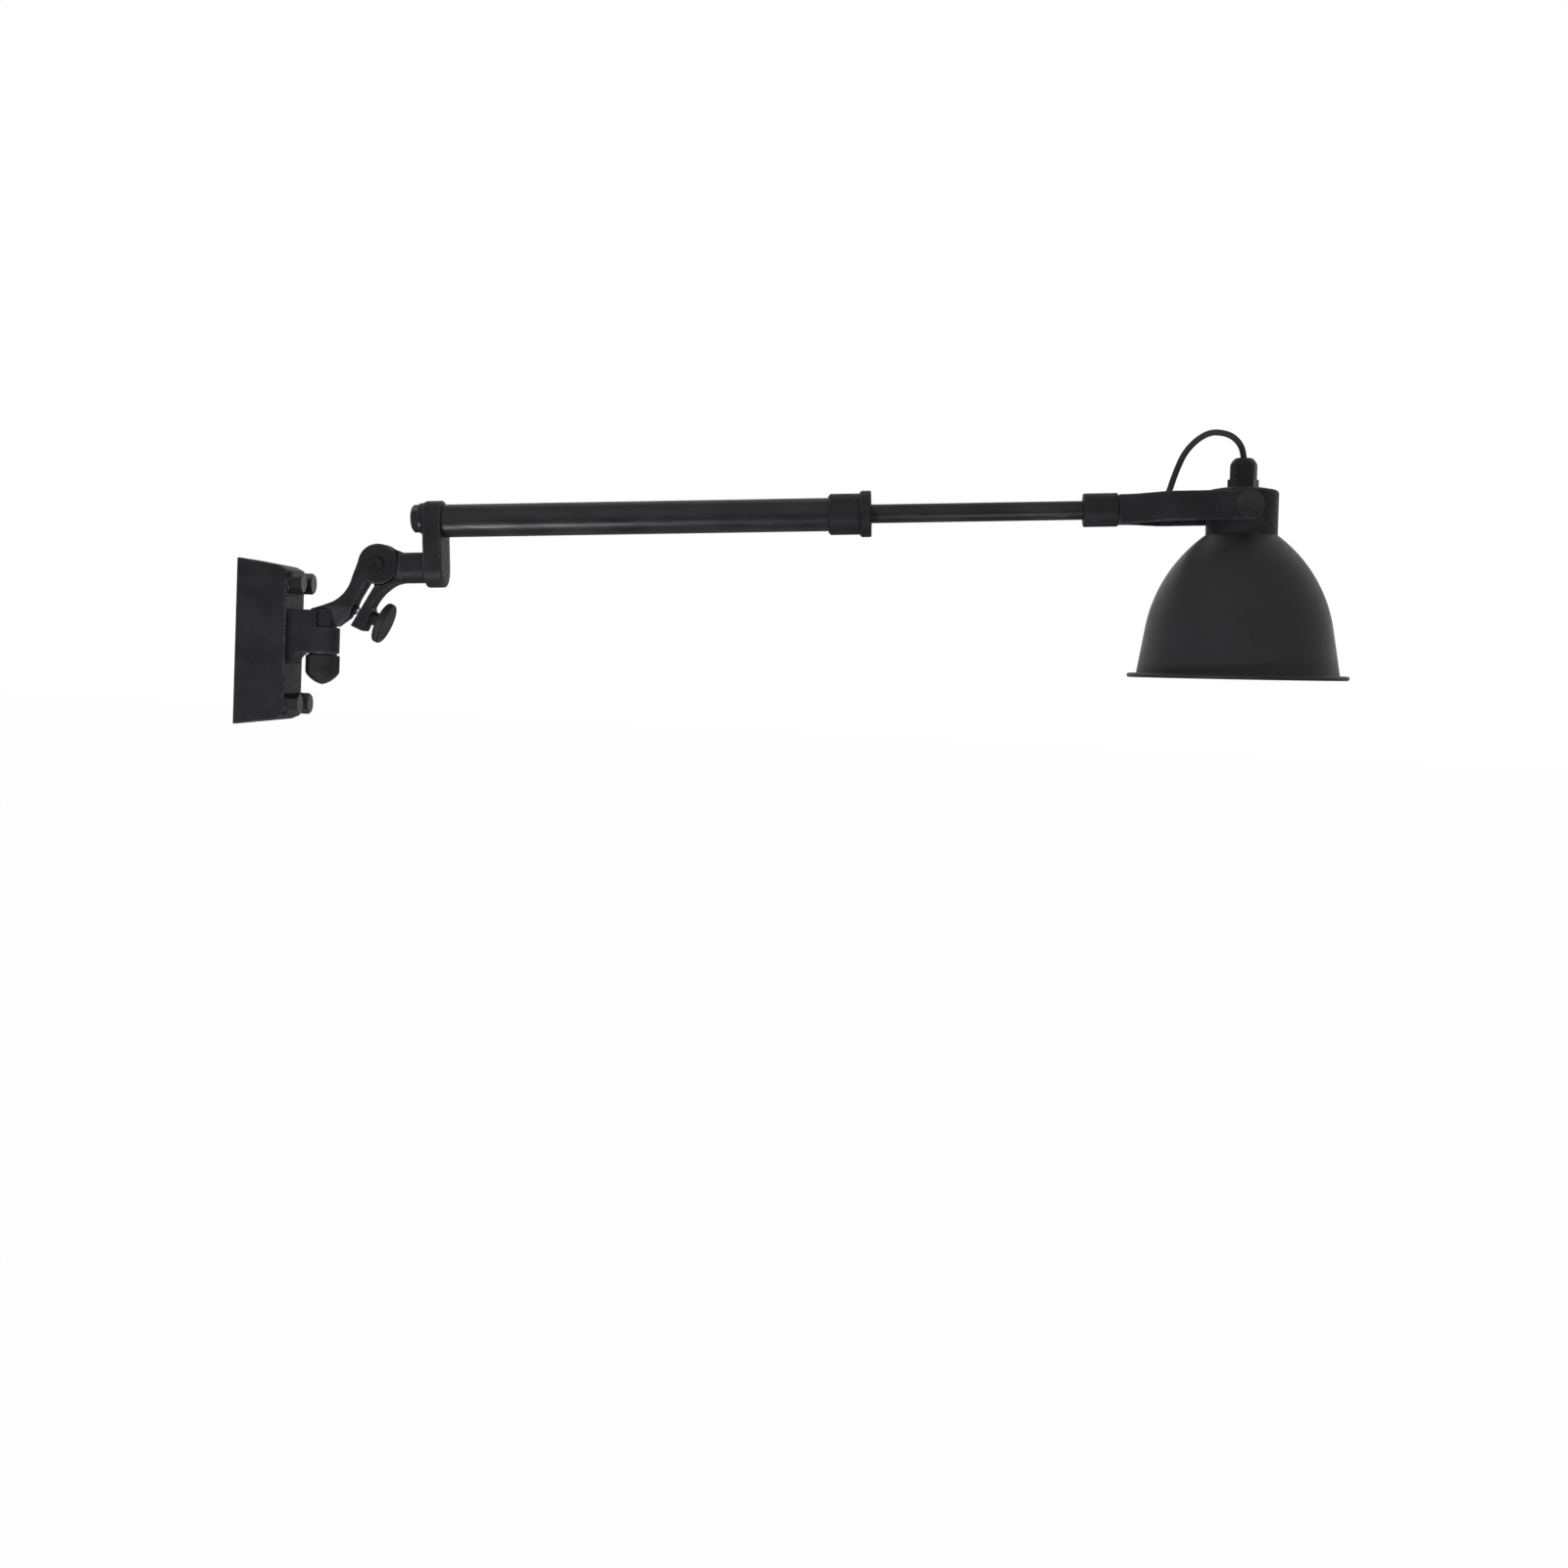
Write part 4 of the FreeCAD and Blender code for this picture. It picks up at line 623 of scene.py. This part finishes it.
def as_mesh(name: str, shape: bmesh.types.BMesh, smooth: bool = True) -> bpy.types.Mesh:
    """Makes a mesh from a bmesh, which it frees.

    Args:
        name: The mesh's name.
        shape: Its shape, in metres in the part's frame.
        smooth: Whether its faces shade smoothly.

    Returns:
        The mesh.
    """
    mesh = bpy.data.meshes.new(name)
    shape.to_mesh(mesh)
    shape.free()
    if smooth:
        mesh.polygons.foreach_set("use_smooth", [True] * len(mesh.polygons))
    return mesh


def as_piece(name: str, shape: bmesh.types.BMesh, smooth: bool = True) -> bpy.types.Object:
    """Makes an object at the origin from a bmesh, which it frees.

    Args:
        name: The piece's name.
        shape: Its shape, in metres in the part's frame.
        smooth: Whether its faces shade smoothly.

    Returns:
        The object, linked to the scene.
    """
    piece = bpy.data.objects.new(name, as_mesh(name, shape, smooth))
    bpy.context.scene.collection.objects.link(piece)
    return piece


def evaluated_mesh(piece: bpy.types.Object) -> bpy.types.Mesh:
    """A piece's mesh with its modifiers applied.

    Args:
        piece: The piece.

    Returns:
        A new mesh.
    """
    graph = bpy.context.evaluated_depsgraph_get()
    return bpy.data.meshes.new_from_object(piece.evaluated_get(graph))


def merged_copy(name: str, node: bpy.types.Object) -> bpy.types.Object:
    """A copy of a CAD node with its loose triangles joined.

    Args:
        name: The copy's name.
        node: The CAD node.

    Returns:
        The copy.
    """
    shape = bmesh.new()
    shape.from_mesh(node.data)
    bmesh.ops.remove_doubles(shape, verts=shape.verts, dist=WELD)
    return as_piece(name, shape)


def ease(shape: bmesh.types.BMesh, rounds: int) -> None:
    """Smooths a whole mesh.

    Args:
        shape: The mesh.
        rounds: How many times.
    """
    for _ in range(rounds):
        bmesh.ops.smooth_vert(shape, verts=shape.verts, factor=0.5, use_axis_x=True,
                              use_axis_y=True, use_axis_z=True)


def cast_copy(name: str, node: bpy.types.Object, grain: float = 0.75 * MM, rounds: int = 5,
              probe_rounds: int = 10, edge_start: float = 0.10,
              edge_span: float = 0.35) -> bpy.types.Object:
    """A copy of a casting with softened edges, which carries how far each point lies on an edge.

    Args:
        name: The copy's name.
        node: The CAD node.
        grain: The size of its faces.
        rounds: How many times its edges are smoothed.
        probe_rounds: How many times more a probe is smoothed, which sinks at the edges.
        edge_start: How far the probe sinks, in grains, where an edge begins.
        edge_span: How much further it sinks on a full edge.

    Returns:
        The copy, with the attribute "edge" from 0 to 1.
    """
    piece = merged_copy(name, node)
    remesh = piece.modifiers.new("grain", "REMESH")
    remesh.mode = "VOXEL"
    remesh.voxel_size = grain
    remesh.use_smooth_shade = True
    fine = evaluated_mesh(piece)
    piece.modifiers.clear()
    shape = bmesh.new()
    shape.from_mesh(fine)
    bpy.data.meshes.remove(fine)
    ease(shape, rounds)
    shape.normal_update()
    layer = shape.verts.layers.float.new("edge")
    start = [v.co.copy() for v in shape.verts]
    out = [v.normal.copy() for v in shape.verts]
    probe = shape.copy()
    ease(probe, probe_rounds)
    for vert, was, normal, eased in zip(shape.verts, start, out, probe.verts):
        sunk = (was - eased.co).dot(normal)
        vert[layer] = max(0.0, min(1.0, (sunk / grain - edge_start) / edge_span))
    probe.free()
    old = piece.data
    piece.data = as_mesh(name, shape)
    bpy.data.meshes.remove(old)
    return piece


# ------------------------------------------------------------------ the arm's own frame


@dataclass(frozen=True)
class ArmFrame:
    """The frame of the long arm, which leans up from the elbow."""

    elbow: Vector = field(default_factory=lambda: Vector((123.8, 0.0, 76.0)) * MM)
    rise: float = ARM_RISE
    tube_height: float = 38.8 * MM

    @property
    def turn(self) -> Quaternion:
        """The turn from the part's frame to the arm's."""
        return Quaternion(-Axis.Y.value, self.rise)

    def point(self, along: float, above: float) -> Vector:
        """A point in the arm's middle plane.

        Args:
            along: Its place along the arm from the elbow.
            above: Its height over the elbow.

        Returns:
            The point in the part's frame.
        """
        return self.elbow + self.turn @ Vector((along, 0.0, above))

    def on_tube(self, along: float, above: float) -> Vector:
        """A point near the tube.

        Args:
            along: Its place along the tube's axis from over the elbow.
            above: Its height over that axis.

        Returns:
            The point in the part's frame.
        """
        return self.point(along, self.tube_height + above)


# ------------------------------------------------------------------ sub-assemblies


@dataclass
class SubAssembly:
    """A group of the lamp's nodes that ride on one CAD body."""

    frame: dict[str, Any]
    finishes: Finishes
    body: str = ""
    castings: tuple[str, ...] = ()

    def nodes(self) -> list[str]:
        """The CAD nodes of this body."""
        return list(self.frame["record"]["behaviour"]["bodies"][self.body])

    def slot_of(self, node: str) -> str:
        """The material slot that the record gives a node.

        Args:
            node: The node's name.

        Returns:
            The slot's name.
        """
        subparts = self.frame["record"]["subparts"]
        return next(s["material_slot"] for s in subparts if s["node"] == node)

    def adopt(self, piece: bpy.types.Object, slot: str, *replaced: str) -> bpy.types.Object:
        """Dresses a new piece, sets it on this body and lets it stand for CAD nodes.

        Args:
            piece: The new piece.
            slot: Its material slot.
            replaced: The nodes that it stands for.

        Returns:
            The piece.
        """
        self.finishes.dress(piece, slot)
        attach(piece, self.body)
        if replaced:
            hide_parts(*replaced)
        log.info("%s on %s: %d faces", piece.name, self.body, len(piece.data.polygons))
        return piece

    def build(self) -> None:
        """Dresses the nodes and builds the pieces that replace some of them."""
        for node in self.nodes():
            self.finishes.dress(self.frame["nodes"][node], self.slot_of(node))
        for node in self.castings:
            piece = cast_copy(f"{node}_cast", self.frame["nodes"][node])
            self.adopt(piece, self.slot_of(node), node)


@dataclass
class WallBase(SubAssembly):
    """The box on the wall, its bolts and the swivel bracket."""

    body: str = "wall_base"
    castings: tuple[str, ...] = ("wall_box", "swivel_bracket")


@dataclass
class LowerArm(SubAssembly):
    """The curved arm between swivel and elbow."""

    body: str = "lower_arm"
    castings: tuple[str, ...] = ("lower_arm",)


@dataclass
class LongArm(SubAssembly):
    """The knuckle, the outer tube and its collar."""

    body: str = "long_arm"
    castings: tuple[str, ...] = ("knuckle",)


@dataclass
class StopScrew(SubAssembly):
    """The thumbscrew under the elbow, with its rough-edged knob."""

    body: str = "thumbscrew"
    contact: tuple[float, float] = (-25.05 * MM, -40.6 * MM)
    slope: float = math.radians(25.9)
    start: float = 24.5 * MM
    neck: float = 2.1 * MM
    neck_radius: float = 6.2 * MM
    radius: float = 19.2 * MM
    thick: float = 7.0 * MM
    teeth: int = 52
    tooth: float = 0.5 * MM
    steps_per_tooth: int = 4
    rim_depth: float = 0.8 * MM
    lip_width: float = 2.8 * MM
    lip_wear: float = 0.7
    face_wear: float = 0.6

    def build(self) -> None:
        """Dresses the stem and builds the knob."""
        super().build()
        self.adopt(self.knob(), "powder_black", "thumb_knob")

    def knob(self) -> bpy.types.Object:
        """The knob: a turned disc with a dished face and a knurled rim.

        Returns:
            The knob.
        """
        arm = ArmFrame()
        back = self.start + self.neck
        face = back + self.thick
        r = self.radius
        outline = [(0.0, self.start), (self.neck_radius - 0.5 * MM, self.start),
                   (self.neck_radius, self.start + 0.5 * MM), (self.neck_radius, back - 0.4 * MM),
                   (self.neck_radius + 0.5 * MM, back), (r - 1.9 * MM, back),
                   (r - 0.7 * MM, back + 0.6 * MM), (r, back + 1.6 * MM), (r, face - 2.0 * MM),
                   (r - 0.6 * MM, face - 0.8 * MM), (r - 1.6 * MM, face - 0.1 * MM),
                   (r - 2.6 * MM, face - 0.2 * MM), (r - 3.8 * MM, face - 1.0 * MM),
                   (r - 5.4 * MM, face - 1.4 * MM), (0.0, face - 1.4 * MM)]
        shape = bmesh.new()
        verts = [shape.verts.new((s, radius, 0.0)) for radius, s in outline]
        edges = [shape.edges.new(pair) for pair in zip(verts, verts[1:])]
        bmesh.ops.spin(shape, geom=verts + edges, cent=(0, 0, 0), axis=Axis.X.value, angle=math.tau,
                       steps=self.teeth * self.steps_per_tooth, use_merge=True, use_duplicate=False)
        bmesh.ops.remove_doubles(shape, verts=shape.verts, dist=SEAM)
        bmesh.ops.recalc_face_normals(shape, faces=shape.faces)
        edge_layer = shape.verts.layers.float.new("edge")
        for vert in shape.verts:
            away = math.hypot(vert.co.y, vert.co.z)
            if away > r - self.rim_depth:
                wave = 0.5 - 0.5 * math.cos(self.teeth * math.atan2(vert.co.z, vert.co.y))
                vert.co.yz = Vector((vert.co.y, vert.co.z)) * (1 - self.tooth * wave / away)
                vert[edge_layer] = 1.0 - wave
            elif away > r - self.lip_width:
                vert[edge_layer] = self.lip_wear
            elif vert.co.x > back + 0.1 * MM:
                vert[edge_layer] = self.face_wear
        lean = Quaternion(-Axis.Y.value, arm.rise - self.slope)
        place = Matrix.Translation(arm.point(*self.contact)) @ lean.to_matrix().to_4x4()
        bmesh.ops.transform(shape, matrix=place, verts=shape.verts)
        return as_piece("thumb_knob_turned", shape)


@dataclass
class StopPad(SubAssembly):
    """The thumbscrew's swivel foot."""

    body: str = "thumb_pad"


@dataclass
class ClampOlive(SubAssembly):
    """The tapered ring inside the clamp."""

    body: str = "clamp_olive"


@dataclass
class ClampRing(SubAssembly):
    """The ring that clamps the rod."""

    body: str = "clamp_ring"


@dataclass
class RodCarriage(SubAssembly):
    """The guide at the rod's inner end."""

    body: str = "rod_carriage"


@dataclass
class RodHead(SubAssembly):
    """The rod, its socket and the fork."""

    body: str = "rod_head"
    castings: tuple[str, ...] = ("fork",)


@dataclass
class ShadeHead(SubAssembly):
    """The cap, the shade, the gland and the bulb."""

    body: str = "shade_head"


@dataclass
class CableLoop(SubAssembly):
    """The free loop of braided cable from the gland back into the rod."""

    body: str = "shade_head"
    diameter: float = 5.5 * MM
    sides: int = 24
    resolution: int = 24
    route: tuple[tuple[float, float], ...] = (
        (782.2, 37.0), (782.5, 48.6), (777.0, 59.6), (767.1, 66.1), (750.3, 67.4),
        (731.9, 52.9), (722.3, 32.5), (714.2, 7.4), (698.5, 0.0), (682.4, 0.0))

    def build(self) -> None:
        """Builds the cable along a smooth line through its route."""
        line = self.line()
        piece = self.sleeve(line)
        self.finishes.dress(piece, "braid")
        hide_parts("cable_loop")
        arm = ArmFrame()
        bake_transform(piece)

    def line(self) -> list[Vector]:
        """The cable's centreline.

        Returns:
            Points close together along the smooth curve that the route controls.
        """
        arm = ArmFrame()
        curve = bpy.data.curves.new("cable_route", "CURVE")
        curve.dimensions = "3D"
        curve.resolution_u = self.resolution
        spline = curve.splines.new("NURBS")
        spline.points.add(len(self.route) - 1)
        for point, (along, above) in zip(spline.points, self.route):
            point.co = (*arm.on_tube(along * MM, above * MM), 1.0)
        spline.order_u = 3
        spline.use_endpoint_u = True
        holder = bpy.data.objects.new("cable_route", curve)
        bpy.context.scene.collection.objects.link(holder)
        bpy.context.view_layer.update()
        mesh = bpy.data.meshes.new_from_object(holder)
        points = [v.co.copy() for v in mesh.vertices]
        bpy.data.meshes.remove(mesh)
        bpy.data.objects.remove(holder)
        bpy.data.curves.remove(curve)
        return points

    def sleeve(self, line: Sequence[Vector]) -> bpy.types.Object:
        """A tube along a line, with a UV map in metres along it and turns round it.

        Args:
            line: The centreline.

        Returns:
            The tube.
        """
        shape = bmesh.new()
        ways = [(b - a).normalized() for a, b in zip(line, line[1:])]
        tangents = [ways[0]] + [(a + b).normalized() for a, b in zip(ways, ways[1:])] + [ways[-1]]
        along = shape.verts.layers.float.new("along")
        around = shape.verts.layers.float.new("around")
        ring = bmesh.ops.create_circle(shape, cap_ends=False, segments=self.sides,
                                       radius=self.diameter / 2)["verts"]
        for i, vert in enumerate(ring):
            vert[around] = i / self.sides
        turn = tangents[0].to_track_quat("Z", "Y").to_matrix().to_4x4()
        bmesh.ops.transform(shape, matrix=Matrix.Translation(line[0]) @ turn, verts=ring)
        first = edges = list(shape.edges)
        done = 0.0
        for i in range(1, len(line)):
            done += (line[i] - line[i - 1]).length
            grown = bmesh.ops.extrude_edge_only(shape, edges=edges)["geom"]
            ring = [g for g in grown if isinstance(g, bmesh.types.BMVert)]
            edges = [g for g in grown if isinstance(g, bmesh.types.BMEdge)]
            bend = tangents[i - 1].rotation_difference(tangents[i]).to_matrix().to_4x4()
            step = Matrix.Translation(line[i]) @ bend @ Matrix.Translation(-line[i - 1])
            bmesh.ops.transform(shape, matrix=step, verts=ring)
            for vert in ring:
                vert[along] = done
        bmesh.ops.holes_fill(shape, edges=first + edges, sides=0)
        bmesh.ops.recalc_face_normals(shape, faces=shape.faces)
        layer = shape.loops.layers.uv.new("UVMap")
        for face in shape.faces:
            turns = [loop.vert[around] for loop in face.loops]
            wraps = max(turns) - min(turns) > 0.5
            for loop, value in zip(face.loops, turns):
                loop[layer].uv = (loop.vert[along], value + 1.0 if wraps and value < 0.5 else value)
        return as_piece("cable_braid", shape)


# ------------------------------------------------------------------ studio


@dataclass(frozen=True)
class Lamp:
    """A soft rectangular lamp."""

    name: str
    spot: Point
    aim: Point
    size: tuple[float, float]
    watts: float
    colour: Colour = (1.0, 1.0, 1.0)

    def build(self) -> None:
        """Adds the lamp to the scene, turned to its aim."""
        data = bpy.data.lights.new(self.name, "AREA")
        data.shape = "RECTANGLE"
        data.energy = self.watts
        data.color = self.colour
        data.size, data.size_y = self.size
        lamp = bpy.data.objects.new(self.name, data)
        lamp.location = self.spot
        lamp.rotation_mode = "QUATERNION"
        way = Vector(self.aim) - Vector(self.spot)
        lamp.rotation_quaternion = way.to_track_quat("-Z", "Y")
        bpy.context.scene.collection.objects.link(lamp)


COOL: Colour = (0.86, 0.87, 1.0)
LAMPS = (
    Lamp("key_left", (-0.35, -1.9, 1.7), (0.45, 0.0, 0.10), (2.4, 2.4), 9.0),
    Lamp("fill_right", (1.9, -1.6, 0.9), (0.6, 0.0, 0.10), (1.8, 1.8), 5.0),
    Lamp("low_left", (0.03, -0.72, -0.75), (0.27, 0.0, 0.12), (0.28, 0.15), 11.0, COOL),
    Lamp("low_right", (0.86, -0.74, -0.69), (0.77, 0.0, 0.15), (0.24, 0.12), 3.5, COOL),
)


@dataclass
class Studio:
    """Camera, lamps, floor and background."""

    place: Point = (0.61924, -1.75070, 0.01076)
    lens: float = 44.235
    vanishing_px: tuple[float, float] = (135.0, 125.0)
    focal_px: float = 1966.0
    roll: float = math.radians(3.0)
    floor_height: float = -1.25
    floor_size: float = 30.0
    floor_white: float = 0.985
    ambient: float = 0.30

    def build(self) -> None:
        """Makes the camera, the floor, the lamps and the background."""
        self.camera()
        self.floor()
        for lamp in LAMPS:
            lamp.build()
        self.world()
        bpy.context.scene.view_settings.view_transform = "Standard"

    def camera(self) -> None:
        """Makes the camera from the photograph's vanishing point and roll."""
        depth = Vector((*self.vanishing_px, self.focal_px)).normalized()
        high = Vector((math.sin(self.roll), math.cos(self.roll), 0.0))
        high = (high - depth * high.dot(depth)).normalized()
        wide = -depth.cross(high)
        right, up, ahead = (Vector((wide[i], depth[i], high[i])) for i in range(3))
        rows = Matrix((right, up, -ahead)).transposed()
        data = bpy.data.cameras.new("camera")
        data.lens = self.lens
        data.sensor_width = 36.0
        camera = bpy.data.objects.new("camera", data)
        camera.matrix_world = Matrix.Translation(self.place) @ rows.to_4x4()
        bpy.context.scene.collection.objects.link(camera)
        bpy.context.scene.camera = camera

    def floor(self) -> None:
        """Makes a wide, plain pale floor."""
        shape = bmesh.new()
        bmesh.ops.create_grid(shape, x_segments=1, y_segments=1, size=self.floor_size)
        bmesh.ops.translate(shape, vec=Axis.Z.value * self.floor_height, verts=shape.verts)
        floor = as_piece("floor", shape, smooth=False)
        paint = Paint("floor_white")
        seen = paint.light_path("Is Camera Ray") * self.floor_white
        glow = paint.node("ShaderNodeEmission", {}, {"Color": (1, 1, 1), "Strength": 1.0})
        paint.surface(Base_Color=(0.92, 0.92, 0.92), Roughness=0.9, Specular=0.1)
        mix = paint.node("ShaderNodeMixShader", {}, {0: seen})
        paint.tree.links.new(paint.shader.outputs[0], mix.inputs[1])
        paint.tree.links.new(glow.outputs[0], mix.inputs[2])
        paint.tree.links.new(mix.outputs[0], paint.output.inputs["Surface"])
        floor.data.materials.append(paint.material)

    def world(self) -> None:
        """Makes a background that is white to the eye and in reflections, and dimmer as light."""
        world = bpy.data.worlds.new("studio")
        graph = Graph(world)
        seen = graph.light_path("Is Camera Ray").at_least(graph.light_path("Is Glossy Ray"))
        seen = seen.at_least(graph.light_path("Is Transmission Ray"))
        strength = seen.ramp(0.0, 1.0, self.ambient, 1.0)
        back = graph.node("ShaderNodeBackground", {}, {"Color": (1, 1, 1), "Strength": strength})
        output = graph.node("ShaderNodeOutputWorld", {}, {})
        graph.tree.links.new(back.outputs[0], output.inputs["Surface"])
        bpy.context.scene.world = world


def main() -> None:
    """Builds the studio and every sub-assembly in order."""
    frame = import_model()
    finishes = Finishes()
    Studio().build()
    makers: list[Callable[..., SubAssembly]] = [
        CableLoop, WallBase, LowerArm, LongArm, StopPad, StopScrew, ClampOlive, ClampRing,
        RodCarriage, RodHead, ShadeHead]
    for maker in makers:
        maker(frame, finishes).build()
        log.info("%s done", maker.__name__)


if __name__ == "__main__":
    main()
